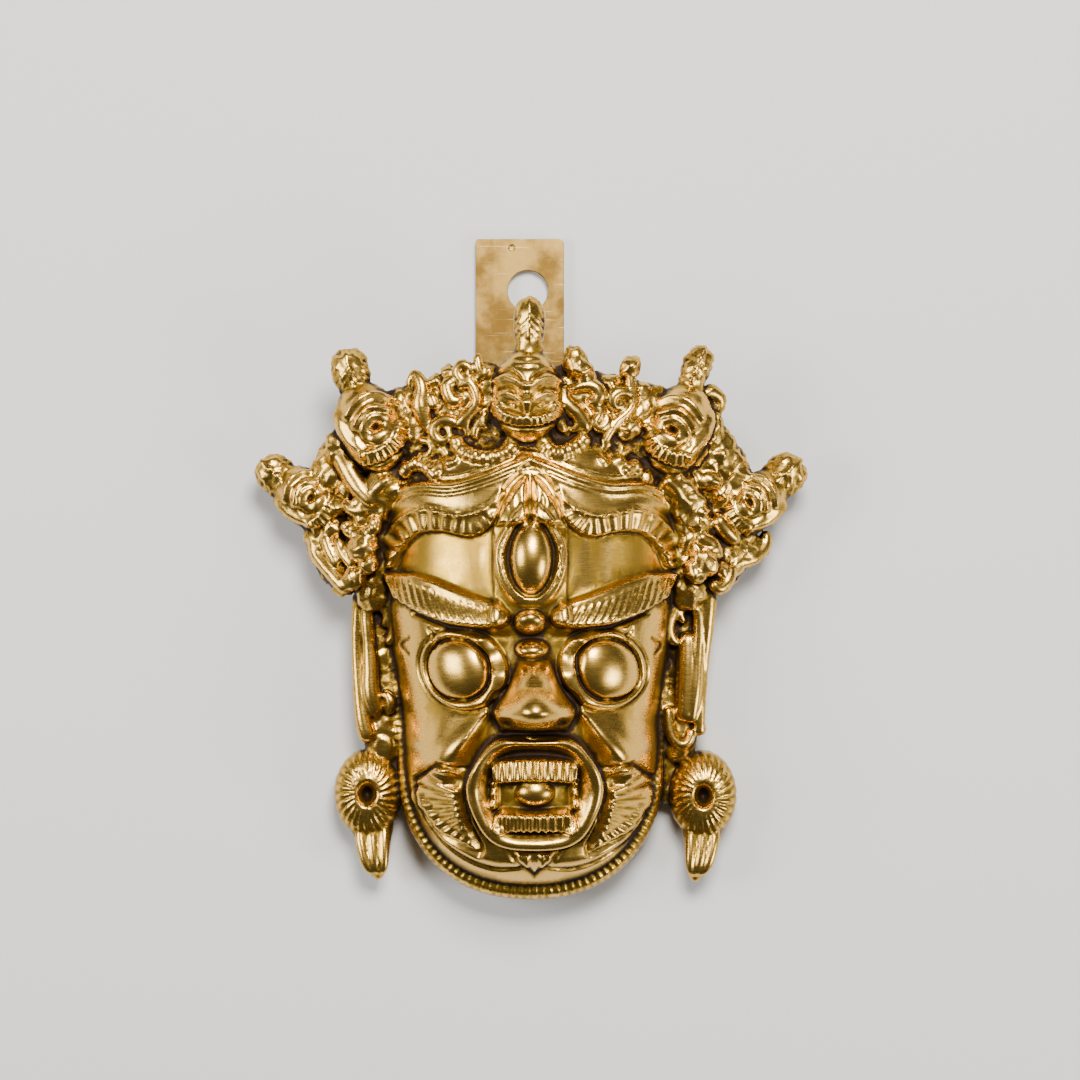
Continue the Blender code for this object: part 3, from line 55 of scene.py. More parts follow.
WALL = 0.0032
CROWN_WALL = 0.012
STRIP_SIDE_SHIFT = -0.0023
HOLE_RADIUS = 0.0046
HOLE_FROM_TOP = 0.0117
HOLE_SIDE_SHIFT = 0.0018
FIT_GAP = 0.0003

# Mesh density, in metres and triangles
VOXEL = 0.00032
SAMPLE_STEP = 0.00032
MASK_TRIANGLES = 192000
SMOOTHING = 0.5
SMOOTHING_STEPS = 1

CARVED_HEIGHT = 134.4
UNIT = MASK_HEIGHT / CARVED_HEIGHT
STEP = SAMPLE_STEP / UNIT
FACE_GRID_ACROSS = 105.0
FACE_GRID_UP = 147.0
BACK_OVERRUN = 1.5
DEEPEST_CUT = 1.9

# The plain egg of the face: jaw, temples and the wall behind the crown
JAW_HALF_WIDTH = 29.0
TEMPLE_HALF_WIDTH = 34.0
FACE_DEPTH = 32.0
CHIN_Y = -73.0
JAW_Y = -42.0
BROW_Y = 12.0
TOP_Y = 38.0
ROUNDNESS = 2.3

# The solids stand with their common box's middle on the origin, and the strip shows how far they moved
strip_low, strip_high = (Vector(corner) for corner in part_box("hanging_strip"))
STRIP_WIDTH = strip_high.x - strip_low.x
STRIP_THICKNESS = strip_high.z - strip_low.z
SHIFT = Vector((
    (strip_low.x + strip_high.x) / 2 - STRIP_SIDE_SHIFT,
    strip_low.y - (TOP_Y * UNIT - CROWN_WALL + WALL),
    0.0,
))


# Numbers and curves


def ease(t):
    """0 below 0, 1 above 1 and smooth between."""
    t = np.clip(t, 0.0, 1.0)
    return t * t * (3.0 - 2.0 * t)


def bump(t):
    """1 where t is 0, falling smoothly to 0 at 1 and beyond."""
    return np.clip(1.0 - t * t, 0.0, None) ** 2


def dome(x, y, centre, half):
    """A round swelling, 1 at its centre and 0 at the edge of its oval."""
    r2 = ((x - centre[0]) / half[0]) ** 2 + ((y - centre[1]) / half[1]) ** 2
    return np.sqrt(np.clip(1.0 - r2, 0.0, None))


def oval_radius(x, y, centre, half, point=0.0):
    """How far out a point lies of an oval, 1 on its line; point narrows its upper end."""
    up = (y - centre[1]) / half[1]
    across = half[0] * (1.0 - point * ease(up))
    return np.hypot((x - centre[0]) / across, up)


def smooth_path(points, steps=6):
    """A smooth curve through the points, as rows of an array."""
    points = np.asarray(points, float)
    guides = np.vstack([2 * points[0] - points[1], points, 2 * points[-1] - points[-2]])
    rows = []
    for a, b, c, d in zip(guides, guides[1:], guides[2:], guides[3:]):
        for t in np.arange(steps) / steps:
            rows.append(
                b + 0.5 * t * (c - a + t * (2 * a - 5 * b + 4 * c - d + t * (3 * b - 3 * c + d - a)))
            )
    rows.append(points[-1])
    return np.array(rows)


def along_path(x, y, points, steps=6):
    """For each place: its distance from a smooth path, and how far along the path it lies."""
    path = smooth_path(points, steps)
    nearest = np.full(x.shape, 1e9)
    travelled = np.zeros(x.shape)
    start = 0.0
    for a, b in zip(path, path[1:]):
        run = b - a
        length = math.hypot(*run)
        share = np.clip(((x - a[0]) * run[0] + (y - a[1]) * run[1]) / length**2, 0.0, 1.0)
        distance = np.hypot(x - a[0] - share * run[0], y - a[1] - share * run[1])
        closer = distance < nearest
        nearest = np.where(closer, distance, nearest)
        travelled = np.where(closer, start + share * length, travelled)
        start += length
    return nearest, travelled


def depth_inside(x, y, corners):
    """How far inside an outline each place lies; negative outside it."""
    corners = np.asarray(corners, float)
    nearest = np.full(x.shape, 1e9)
    inside = np.zeros(x.shape, bool)
    for a, b in zip(corners, np.roll(corners, -1, axis=0)):
        run = b - a
        share = np.clip(((x - a[0]) * run[0] + (y - a[1]) * run[1]) / (run @ run), 0.0, 1.0)
        nearest = np.minimum(nearest, np.hypot(x - a[0] - share * run[0], y - a[1] - share * run[1]))
        crosses = (a[1] > y) != (b[1] > y)
        if run[1]:
            inside ^= crosses & (x < a[0] + (y - a[1]) * run[0] / run[1])
    return np.where(inside, nearest, -nearest)


def ridge(x, y, points, width):
    """A rounded ridge along a path: 1 on its line, 0 at width from it."""
    return bump(along_path(x, y, points)[0] / width)


def ribs(distance, pitch, sharpness=1.0):
    """Rows of rounded ribs, 0 in the cuts between them and 1 on their tops."""
    return np.abs(np.sin(np.pi * distance / pitch)) ** sharpness


def crust(x, y, z, size):
    """A repeatable rough-cast surface, about -1 to 1, with lumps of the given size."""
    total = np.zeros(np.shape(x))
    for turn, gain in ((0.0, 1.0), (1.1, 0.8), (2.3, 0.6)):
        u = (x * math.cos(turn) + y * math.sin(turn)) / size
        v = (y * math.cos(turn) - x * math.sin(turn)) / size
        w = z / size + turn
        wave = np.sin(2.1 * u + 1.7 * np.sin(1.3 * v + w))
        total += gain * wave * np.sin(1.9 * v - 1.1 * w + np.sin(u))
    return total / 1.6


# The face


def face_egg(side, rise, inset, top_inset):
    """Points of the plain egg, side -1..1 across and rise -1..1 from chin to crown."""
    chin, top = CHIN_Y + inset, TOP_Y - top_inset
    middle, half = (chin + top) / 2, (top - chin) / 2
    y = middle + half * (0.6 * rise + 0.4 * np.sin(rise * np.pi / 2))
    high = min(BROW_Y, top - 12.0)
    fall = np.clip((JAW_Y - y) / (JAW_Y - chin), 0, None) + np.clip((y - high) / (top - high), 0, None)
    widening = TEMPLE_HALF_WIDTH - JAW_HALF_WIDTH
    half_width = JAW_HALF_WIDTH + widening * ease((y - JAW_Y) / (BROW_Y - 10 - JAW_Y)) - inset
    narrowing = np.clip(1 - fall**ROUNDNESS, 0, None)
    x = half_width * narrowing ** (1 / ROUNDNESS) * np.sin(side * np.pi / 2)
    height = np.clip(narrowing - np.abs(x / half_width) ** ROUNDNESS, 0, None) ** (1 / ROUNDNESS)
    return np.stack([x, y, (FACE_DEPTH - inset) * height], axis=-1)


def face_lean(y):
    """The nose and mouth sit a little to the right of the brow's middle."""
    return 1.1 * ease((-14.0 - y) / 14.0)


def third_eye(x, y):
    centre = (0.2, 2.9)
    boss = 2.4 * bump(oval_radius(x, y, (0.2, 2.5), (12.5, 15.0)))
    inner = oval_radius(x, y, centre, (5.9, 9.4), 0.25)
    outer = oval_radius(x, y, centre, (7.3, 10.9), 0.25)
    ball = dome(x, y, (0.2, 2.4), (4.4, 7.9))
    rims = 0.9 * bump((inner - 1) / 0.15) + 0.8 * bump((outer - 1) / 0.12)
    well = (inner < 1) * (1 - ball**0.3) * ease((11.2 - y) / 2.2)
    return boss + 2.4 * ball + rims - 1.1 * well


def brow_beads(x, y):
    upper = 4.4 * dome(x, y, (0.0, -11.8), (3.6, 2.9))
    lower = 4.4 * dome(x, y, (0.4, -17.6), (3.8, 2.2))
    hollow = 2.0 * bump(oval_radius(x, y, (0.2, -15.2), (9.0, 6.0)))
    return upper + lower - hollow


DIADEM_TOP = ((0.0, 23.6), (3.5, 22.6), (10.0, 20.0), (17.0, 18.2), (24.2, 18.4), (29.5, 16.2),
    (33.5, 10.6), (34.8, 1.0))
DIADEM_MIDDLE = ((6.2, 16.6), (8.0, 14.6), (10.7, 13.0), (15.7, 12.0), (22.5, 13.3), (27.6, 11.6),
    (31.0, 7.8), (32.4, 0.5))
DIADEM_LOW = ((6.8, 12.0), (8.2, 9.5), (11.3, 7.2), (14.5, 6.8), (19.6, 7.9), (24.8, 7.4), (28.6, 4.0),
    (30.2, 0.0))
PEAK = ((0.0, 22.2), (1.6, 20.2), (3.4, 18.4), (5.4, 15.6), (7.2, 12.6), (8.2, 9.0), (0.0, 9.0))


def diadem(x, y):
    """The crown's lower band across the forehead: two cords, a ribbed band and a leaf between."""
    ax = np.abs(x)
    top, _ = along_path(ax, y, DIADEM_TOP)
    middle, _ = along_path(ax, y, DIADEM_MIDDLE)
    low, run = along_path(ax, y, DIADEM_LOW)
    band = list(DIADEM_LOW) + list(reversed(DIADEM_MIDDLE))
    in_band = ease(depth_inside(ax, y, smooth_path(band, 3)) / 0.5)
    hoop = list(DIADEM_MIDDLE) + list(reversed(DIADEM_TOP))
    in_hoop = ease(depth_inside(ax, y, smooth_path(hoop, 3)) / 0.8)
    leaf = ease(depth_inside(ax, y, PEAK) / 1.6)
    cords = 1.3 * bump(top / 1.1) + 1.2 * bump(middle / 1.0) + 0.4 * bump((top - 2.0) / 0.5)
    ribbed = in_band * (0.9 + 0.7 * ribs(run, 2.2, 0.6))
    cut = -0.6 * bump(low / 0.6)
    petals = -0.6 * bump((y - 14.5) / 2.6) * (ax < 5.5) * (1 - ribs(x + 0.8, 1.8, 0.7))
    return in_hoop + cords + ribbed * (leaf < 0.5) + cut + leaf * (1.7 + petals)


BROW_LINE = ((6.6, -10.6), (9.5, -10.0), (16.0, -8.6), (22.0, -6.2), (27.0, -3.9), (30.6, -1.6))
BROW_HALF_HEIGHT = (2.6, 3.5, 4.3, 4.3, 3.6, 1.2)


def brows(x, y):
    """Flame brows: a polished upper edge with hair strokes combed down and inwards."""
    ax = np.abs(x)
    gap, run = along_path(ax, y, BROW_LINE)
    path = smooth_path(BROW_LINE)
    lengths = np.r_[0.0, np.cumsum(np.hypot(*np.diff(path, axis=0).T))]
    widths = np.interp(run, lengths[::6], BROW_HALF_HEIGHT)
    body = ease((widths - gap) / 1.1)
    middle = np.interp(ax, path[:, 0], path[:, 1])
    lean = 0.70 * (y - middle) - 0.012 * (y - middle) ** 2
    strokes = 1 - ribs(ax - lean, 1.65, 0.55)
    combed = ease((widths * 0.6 - (y - middle)) / 1.5) * (ax > 8.8)
    overhang = 1.4 * body * ease((middle + 2.0 - y) / 5.0)
    bud = 1.4 * dome(ax, y, (7.1, -9.6), (1.5, 3.0))
    return 2.0 * body + overhang - 0.95 * strokes * combed * body + bud


def eyes(x, y):
    """Bulging eyes in deep sockets, each inside a lid that is thickest beside the nose."""
    ax = np.abs(x)
    dx, dy = ax - 16.4, y + 22.2
    ball_r = (np.abs(dx / 6.6) ** 2.2 + np.abs(dy / 6.5) ** 2.2) ** (1 / 2.2)
    lid_r = np.hypot((ax - 15.3) / 10.1, (y + 22.1) / 9.2)
    ball = 2.7 * np.sqrt(np.clip(1 - ball_r**2, 0, None))
    trench = -1.5 * bump((ball_r - 1.03) / 0.09)
    lid = (0.6 + 1.1 * ease(-dx / 6.0)) * ease((ball_r - 1.04) / 0.12) * ease((1.0 - lid_r) / 0.10)
    line = -0.8 * bump((lid_r - 1.01) / 0.05)
    lash = -0.8 * ridge(ax, y, ((22.4, -13.4), (21.2, -15.4), (20.6, -17.4)), 0.5)
    corner = -0.7 * ridge(ax, y, ((27.2, -15.4), (29.2, -17.2), (27.6, -19.2)), 0.5)
    socket = -2.4 * bump(np.hypot((ax - 7.0) / 5.0, (y + 18.4) / 5.5))
    under_brow = -1.2 * ridge(ax, y, ((5.0, -14.9), (12.0, -14.2), (19.0, -12.4), (25.5, -9.8)), 1.3)
    return ball + trench + lid + line + lash + corner + socket + under_brow


NOSE_MIDDLE = 0.9
NOSE_Y = (-36.4, -35.4, -34.0, -32.0, -30.0, -27.0, -24.0, -21.6, -19.4)
NOSE_RISE = (0.0, 3.4, 8.0, 10.2, 10.2, 8.8, 6.8, 4.2, 0.0)
NOSE_HALF_WIDTH = (4.6, 6.2, 7.8, 8.4, 8.1, 6.3, 4.9, 4.0, 3.2)


def curve_value(y, places, values):
    """A smooth value that passes through the given values at rising places."""
    path = smooth_path(list(zip(places, values)), 8)
    return np.interp(y, path[:, 0], path[:, 1])


def nose(x, y):
    """A beak with a rounded ridge and tip, flared wings and open nostrils."""
    dx = x - NOSE_MIDDLE
    ax = np.abs(dx)
    reach = ax / curve_value(y, NOSE_Y, NOSE_HALF_WIDTH)
    rise = np.clip(curve_value(y, NOSE_Y, NOSE_RISE), 0, None)
    body = rise * np.clip(1.05 - reach**2, 0, None) ** 0.8
    tip = 2.4 * bump(np.hypot(dx / 5.2, (y + 31.0) / 5.2)) ** 0.5
    wings = 1.2 * bump(np.hypot((ax - 6.2) / 3.4, (y + 32.0) / 3.8))
    nostrils = -3.0 * bump(np.hypot((ax - 5.6) / 2.3, (y + 33.7) / 1.6))
    crease_path = ((6.2, -26.2), (8.8, -28.0), (9.7, -31.5), (8.7, -35.0), (6.0, -36.9), (0.0, -37.4))
    crease = -1.4 * ridge(ax, y, crease_path, 0.8)
    return body + tip + wings + nostrils + crease


def cheeks(x, y):
    """Full cheeks with a deep valley from the nose down round the mouth."""
    ax = np.abs(x - NOSE_MIDDLE)
    pad = 2.6 * bump(np.hypot((ax - 18.5) / 12.0, (y + 40.0) / 11.0))
    valley = -2.8 * ridge(ax, y, ((9.6, -34.5), (12.8, -40.2), (17.0, -46.6)), 2.9)
    crest = 0.7 * ridge(ax, y, ((9.8, -32.0), (14.6, -37.6), (20.0, -44.0)), 3.2)
    muzzle = 1.8 * bump(np.hypot(ax / 19.0, (y + 49.0) / 17.0))
    return pad + valley + crest + muzzle


MOUTH_Y = -48.6
MOUTH_HALF_WIDTH = 15.2
MOUTH_HALF_HEIGHT = 12.3
MOUTH_SLANT = 0.5
LIP_WIDTH = 3.6
TOOTH_PITCH = 1.55


def depth_in_mouth(dx, y):
    """How far inside the lips' outer edge a place lies; the edge has six blunt corners."""
    dy = np.abs(y - MOUTH_Y)
    slanted = (np.abs(dx) + MOUTH_SLANT * (np.sqrt(dy**2 + 9.0) - 1.5)) / MOUTH_HALF_WIDTH
    reach = ((dy / MOUTH_HALF_HEIGHT) ** 6 + slanted**6) ** (1 / 6)
    return (1 - reach) * MOUTH_HALF_HEIGHT


def rounded_box(x, y, centre, half, corner):
    """Distance outside a box with round corners; negative inside."""
    qx = np.abs(x - centre[0]) - half[0] + corner
    qy = np.abs(y - centre[1]) - half[1] + corner
    return np.hypot(np.maximum(qx, 0), np.maximum(qy, 0)) + np.minimum(np.maximum(qx, qy), 0) - corner


def mouth(x, y):
    """A snarling mouth: six-sided lips, two rows of teeth and a tongue."""
    dx = x - NOSE_MIDDLE
    ax = np.abs(dx)
    plate = depth_in_mouth(dx, y)
    lips = 2.2 * ease(plate / 0.7) + bump((plate - 1.3) / 1.5)
    groove = -1.5 * bump((plate + 0.7) / 1.0)
    pit = -3.6 * ease((plate - LIP_WIDTH + 1.5) / 1.9)
    cuts = 1 - ribs(dx, TOOTH_PITCH, 0.5)
    arch = y + 0.010 * dx**2
    upper = ease(-rounded_box(dx, arch, (0.0, -43.9), (9.3, 2.9), 2.2) / 0.9)
    lower = ease(-rounded_box(dx, y, (0.0, -54.8), (8.8, 2.5), 2.0) / 0.9)
    sides = ease(-rounded_box(ax, y, (8.7, -49.6), (1.2, 3.6), 1.0) / 0.9) * (0.6 + 0.4 * ribs(y, 2.4))
    teeth = np.maximum(np.maximum(upper, lower) * (3.9 - 1.7 * cuts), 2.4 * sides)
    tongue = 2.6 * dome(dx, y, (0.1, -49.0), (4.3, 2.9))
    slot = -1.2 * bump(np.hypot(dx / 5.2, (y + 52.6) / 0.8))
    return lips + groove + pit + teeth + tongue + slot


TUFT = ((15.9, -44.4), (20.0, -43.6), (26.2, -47.2), (24.8, -52.0), (20.6, -57.6), (12.0, -62.2),
    (15.0, -56.4), (16.4, -50.5))
JAW_GROOVE = ((26.8, -49.0), (25.0, -54.4), (20.6, -60.4), (15.2, -64.6), (9.0, -66.8), (3.4, -66.4))


def beard(x, y):
    """Flame tufts at the mouth's corners, the jaw's roll and the small tuft on the chin."""
    dx = x - NOSE_MIDDLE
    ax = np.abs(dx)
    inside = depth_inside(ax, y, TUFT)
    tuft = 1.1 * ease((inside + 0.3) / 1.2)
    turn = np.arctan2(y + 51.0, ax - 9.0)
    strokes = -1.0 * (1 - ribs(turn * 10.0, 1.7, 0.6)) * ease(inside / 0.8)
    edge = -1.5 * bump((inside + 0.5) / 0.9)
    roll_path = ((2.0, -64.0), (9.0, -64.0), (15.5, -61.4), (21.6, -56.6), (25.4, -51.0))
    roll = 1.4 * ridge(ax, y, roll_path, 2.6)
    groove = -1.3 * ridge(ax, y, JAW_GROOVE, 0.7)
    chin = -np.maximum(ax / 5.4 + (-61.6 - y) / 6.2 - 1, (y + 61.6) / 3.0)
    chin_tuft = ease(chin / 0.25) - 0.6 * (1 - ribs(dx + 0.8, 1.6, 0.7)) * (chin > 0.1)
    chin_edge = -0.9 * bump((chin + 0.12) / 0.2)
    return tuft + strokes + edge + roll + groove + chin_tuft + chin_edge


def face_relief(x, y):
    """How far the carving stands out of the plain egg."""
    relief = third_eye(x, y) + brow_beads(x, y) + diadem(x, y) + brows(x, y) + eyes(x - face_lean(y), y)
    relief = relief + nose(x, y) + cheeks(x, y) + beard(x, y) + mouth(x, y)
    panel = 1 - np.maximum(ease((np.abs(x) - 29.0) / 2.0), ease(np.abs(y - 1.5) / 9.0 - 0.4))
    relief = relief - 0.8 * panel * (np.abs(x) > 8)
    return np.where(relief < 0, -DEEPEST_CUT * np.tanh(-relief / DEEPEST_CUT), relief)


def hollow_relief(x, y):
    """The hollow follows the nose and the muzzle, so that the metal stays near one thickness."""
    dx = x - NOSE_MIDDLE
    behind_nose = 6.0 * bump(np.hypot(dx / 6.0, (y + 30.5) / 8.5))
    return behind_nose + 1.6 * bump(np.hypot(dx / 17.0, (y + 48.0) / 15.0))


def pushed_out(surface, relief):
    """A grid of points moved along its own normals."""
    normal = np.cross(np.gradient(surface, axis=1), np.gradient(surface, axis=0))
    length = np.linalg.norm(normal, axis=-1, keepdims=True)
    normal = np.where(length > 1e-9, normal / np.maximum(length, 1e-9), 0.0)
    return surface + normal * relief[..., None]


def face_shell():
    """The hollow face: carved egg outside, plainer egg inside, open at the back."""
    across, up = int(FACE_GRID_ACROSS / STEP), int(FACE_GRID_UP / STEP)
    side, rise = np.meshgrid(np.linspace(-1, 1, across), np.linspace(-1, 1, up))
    outer = face_egg(side, rise, 0.0, 0.0)
    inner = face_egg(side, rise, WALL / UNIT, CROWN_WALL / UNIT)
    fade = ease(outer[..., 2] / 6.0) * ease((TOP_Y - 6 - outer[..., 1]) / 6.0)
    outer = pushed_out(outer, fade * face_relief(outer[..., 0], outer[..., 1]))
    inner = pushed_out(inner, hollow_relief(inner[..., 0], inner[..., 1]))
    return closed_shell(outer, inner)


def closed_shell(outer, inner):
    """Joins two surfaces with the same grid into one closed body with a flat back."""
    up, across = outer.shape[:2]
    count = up * across
    index = np.arange(count).reshape(up, across)
    rim = np.r_[index[0], index[1:, -1], index[-1, -2::-1], index[-2:0:-1, 0]]
    points = np.vstack([outer.reshape(-1, 3), inner.reshape(-1, 3)])
    skirt = points[np.r_[rim, rim + count]].copy()
    skirt[:, 2] = -BACK_OVERRUN
    outer_skirt = 2 * count + np.arange(len(rim))
    inner_skirt = outer_skirt + len(rim)
    quads = [grid_quads(index), grid_quads(index + count)[:, ::-1]]
    for low, high in ((outer_skirt, rim), (inner_skirt, outer_skirt), (rim + count, inner_skirt)):
        quads.append(np.stack([low, np.roll(low, -1), np.roll(high, -1), high], axis=1))
    return np.vstack([points, skirt]), np.vstack(quads)


def grid_quads(index):
    a, b, c, d = index[:-1, :-1], index[:-1, 1:], index[1:, 1:], index[1:, :-1]
    return np.stack([a, b, c, d], axis=-1).reshape(-1, 4)


# Bodies swept along a path or wrapped round a ball


def skin(rings):
    """A closed body through rings of points, with both ends capped."""
    rings = np.asarray(rings, float)
    rows, around = rings.shape[:2]
    points = np.vstack([rings.reshape(-1, 3), rings[0].mean(0), rings[-1].mean(0)])
    index = np.arange(rows * around).reshape(rows, around)
    index = np.hstack([index, index[:, :1]])
    quads = grid_quads(index)
    tail = rows * around
    caps = []
    for ring, hub, flip in ((index[0], tail, True), (index[-1], tail + 1, False)):
        for a, b in zip(ring, ring[1:]):
            caps.append((hub, b, a, a) if flip else (hub, a, b, b))
    return points, np.vstack([quads, caps])


def sweep(points, widths, depths=None, pitch=0.0, cut=0.0, rough=0.0, root=0.0, square=1.0):
    """A bar along a smooth path, ribbed at a pitch; its root reaches further in than out."""
    depths = widths if depths is None else depths
    path = smooth_path(points, 8)
    lengths = np.r_[0.0, np.cumsum(np.linalg.norm(np.diff(path, axis=0), axis=1))]
    rows = max(6, int(lengths[-1] / STEP))
    run = np.linspace(0, lengths[-1], rows)
    centre = np.stack([np.interp(run, lengths, path[:, k]) for k in range(3)], axis=1)
    tangent = np.gradient(centre, axis=0)
    tangent /= np.linalg.norm(tangent, axis=1, keepdims=True)
    out = np.array([0, 0, 1.0]) - tangent * tangent[:, 2:]
    out /= np.linalg.norm(out, axis=1, keepdims=True)
    side = np.cross(tangent, out)
    marks = np.linspace(0, lengths[-1], len(np.atleast_1d(widths)))
    width = np.interp(run, marks, np.atleast_1d(widths))[:, None, None]
    depth = np.interp(run, marks, np.atleast_1d(depths))[:, None, None]
    to_end = np.minimum(run, run[-1] - run)[:, None, None]
    rounding = np.sqrt(np.clip(1 - (1 - np.clip(to_end / width, 0, 1)) ** 2, 0.03, 1))
    width, depth = width * rounding, depth * rounding
    if pitch:
        squeeze = 1 - cut * (1 - ribs(run, pitch, 0.7))[:, None, None]
        width, depth = width * (0.4 + 0.6 * squeeze), depth * squeeze
    around = max(10, int(2 * math.pi * float(width.max()) / STEP))
    turn = np.linspace(0, 2 * math.pi, around, endpoint=False)[None, :, None]
    across = np.sign(np.cos(turn)) * np.abs(np.cos(turn)) ** square
    up = np.sign(np.sin(turn)) * np.abs(np.sin(turn)) ** square
    height = depth * up + root * np.minimum(up, 0)
    rings = centre[:, None] + side[:, None] * width * across + out[:, None] * height
    if rough:
        push = rough * crust(rings[..., 0], rings[..., 1], rings[..., 2], 1.6)[..., None]
        rings = rings + push * (out[:, None] * np.sin(turn) + side[:, None] * np.cos(turn))
    return skin(rings)


def ball(centre, half, tilt=0.0, relief=None, rough=0.0, taper=0.0, full=1.0):
    """An egg with its own up axis tilted in the mask's plane and carving on its front."""
    rows = max(8, int(math.pi * half[1] / STEP))
    around = max(12, int(2 * math.pi * half[0] / STEP))
    polar = np.linspace(-math.pi / 2, math.pi / 2, rows + 2)[1:-1, None]
    turn = np.linspace(0, 2 * math.pi, around, endpoint=False)[None, :]
    narrow = np.cos(polar) ** full * (1 - taper * (0.5 + 0.5 * np.sin(polar)))
    a = half[0] * np.cos(turn) * narrow
    b = half[1] * np.sin(polar) + 0.0 * turn
    c = half[2] * np.sin(turn) * narrow
    normal = np.stack([a / half[0] ** 2, b / half[1] ** 2, c / half[2] ** 2], axis=-1)
    normal /= np.linalg.norm(normal, axis=-1, keepdims=True)
    local = np.stack([a, b, c], axis=-1)
    if relief:
        local = local + normal * (relief(a, b) * ease(c / half[2] * 4.0))[..., None]
    if rough:
        local = local + normal * rough * crust(a + centre[0], b + centre[1], c, 1.3)[..., None]
    cos, sin = math.cos(tilt), math.sin(tilt)
    a, b, c = np.moveaxis(local, -1, 0)
    return skin(np.stack([a * cos - b * sin, a * sin + b * cos, c], axis=-1) + np.asarray(centre, float))


# The crown


def crown_front(x):
    """Height of the crown's ground above the back; the crown wraps round the forehead."""
    return 26.5 - 0.0066 * x * x


def forehead_height(x, y):
    """Height of the plain egg where it domes up behind the crown."""
    fall = max(0.0, (y - BROW_Y) / (TOP_Y - BROW_Y))
    left = 1 - min(1.0, fall) ** ROUNDNESS - (abs(x) / TEMPLE_HALF_WIDTH) ** ROUNDNESS
    return FACE_DEPTH * max(0.0, left) ** (1 / ROUNDNESS)


def ground_height(x, y):
    """Height of what carries the crown's ornaments: its ground, or the forehead where that is higher."""
    return max(crown_front(x), forehead_height(x, y) - 0.6)


def on_crown(points, lift):
    """Carving points laid on the crown's ground."""
    return [(x, y, ground_height(x, y) + lift) for x, y in points]


def middle_head_relief(a, b):
    """Laughing face: paired brows, almond eyes, a grin full of teeth."""
    ax = np.abs(a)
    wrinkles = -0.5 * ridge(ax, b, ((0.0, 7.6), (2.4, 7.9)), 0.45)
    wrinkles -= 0.5 * ridge(ax, b, ((0.0, 5.9), (2.2, 6.2)), 0.45)
    upper_cut = -1.0 * ridge(ax, b, ((0.9, 3.0), (2.2, 4.6), (4.2, 5.6), (6.9, 4.6)), 0.6)
    brow = 0.9 * ridge(ax, b, ((0.3, 1.9), (2.2, 3.2), (4.6, 4.0), (6.8, 3.2)), 0.9)
    lower_cut = -1.0 * ridge(ax, b, ((0.8, -0.4), (2.2, 1.0), (4.2, 2.0), (6.6, 1.4)), 0.6)
    lid = 0.7 * ridge(ax, b, ((0.5, -1.6), (2.2, -0.4), (4.2, 0.5), (6.4, -0.2)), 0.8)
    eye_r = oval_radius(ax, b + 0.22 * (3.2 - ax), (3.2, -2.5), (2.3, 1.0))
    eye = -1.1 * bump(eye_r / 1.3) + 0.9 * bump(eye_r / 0.5)
    snout = dome(a, b, (0.0, -2.0), (1.2, 2.6))
    grin = ((0.0, -5.5), (2.4, -5.3), (4.8, -4.4), (6.9, -2.5))
    gap, run = along_path(ax, b, grin)
    teeth = ease((1.3 - gap) / 0.35) * (0.3 + 0.9 * ribs(run, 1.15, 0.6))
    above = -0.7 * ridge(ax, b, ((0.0, -3.9), (2.6, -3.7), (5.0, -2.8)), 0.5)
    under = -1.3 * ridge(ax, b, ((0.0, -7.1), (2.8, -6.9), (5.4, -5.9)), 0.6)
    return wrinkles + upper_cut + brow + lower_cut + lid + eye + snout + teeth + above + under


def side_head_relief(a, b):
    """A head turned outwards: a drilled eye under stacked brows, and teeth curving to the cheek."""
    slit = np.hypot((a - 1.2) / 2.0, b + 0.5 - 0.15 * (a - 1.2))
    eye = -2.8 * bump(slit / 1.1) + 0.8 * dome(a, b, (1.6, -3.0), (3.4, 1.5))
    lids = ((-2.6, -0.4), (-1.0, 1.2), (1.4, 1.9), (3.9, 0.6))
    brow = ((-3.2, 1.4), (-1.0, 3.1), (1.6, 3.7), (4.9, 1.6))
    fold = ((-4.2, 4.0), (-0.9, 6.2), (3.2, 6.3), (6.4, 3.6))
    lines = ((0.5, 0.6, lids), (1.2, 0.9, brow), (1.0, 1.0, fold))
    raised = sum(gain * ridge(a, b, path, width) for gain, width, path in lines)
    profile = ridge(a, b, ((-6.3, 6.0), (-6.2, 0.6), (-4.2, -4.4)), 1.6)
    nose_side = -0.8 * ridge(a, b, ((-3.6, 0.0), (-3.2, -2.6), (-1.6, -4.0)), 0.7)
    gap, run = along_path(a, b, ((-4.6, -5.4), (-0.8, -6.2), (3.4, -5.4), (6.4, -2.6)))
    teeth = ease((1.7 - gap) / 0.4) * (0.2 + 1.1 * ribs(run, 1.3, 0.6))
    under = -1.2 * ridge(a, b, ((-3.8, -7.9), (-0.2, -8.3), (4.2, -7.3), (6.6, -5.4)), 0.6)
    return eye + raised + profile + nose_side + teeth + under


def topknot_relief(a, b):
    """Combed hair parted down the middle."""
    comb = np.abs(a) * 0.9 + b
    return -0.6 * (1 - ribs(comb, 1.7, 0.6)) * ease((2.6 - b) / 1.5) + 0.5 * bump(a / 0.9)


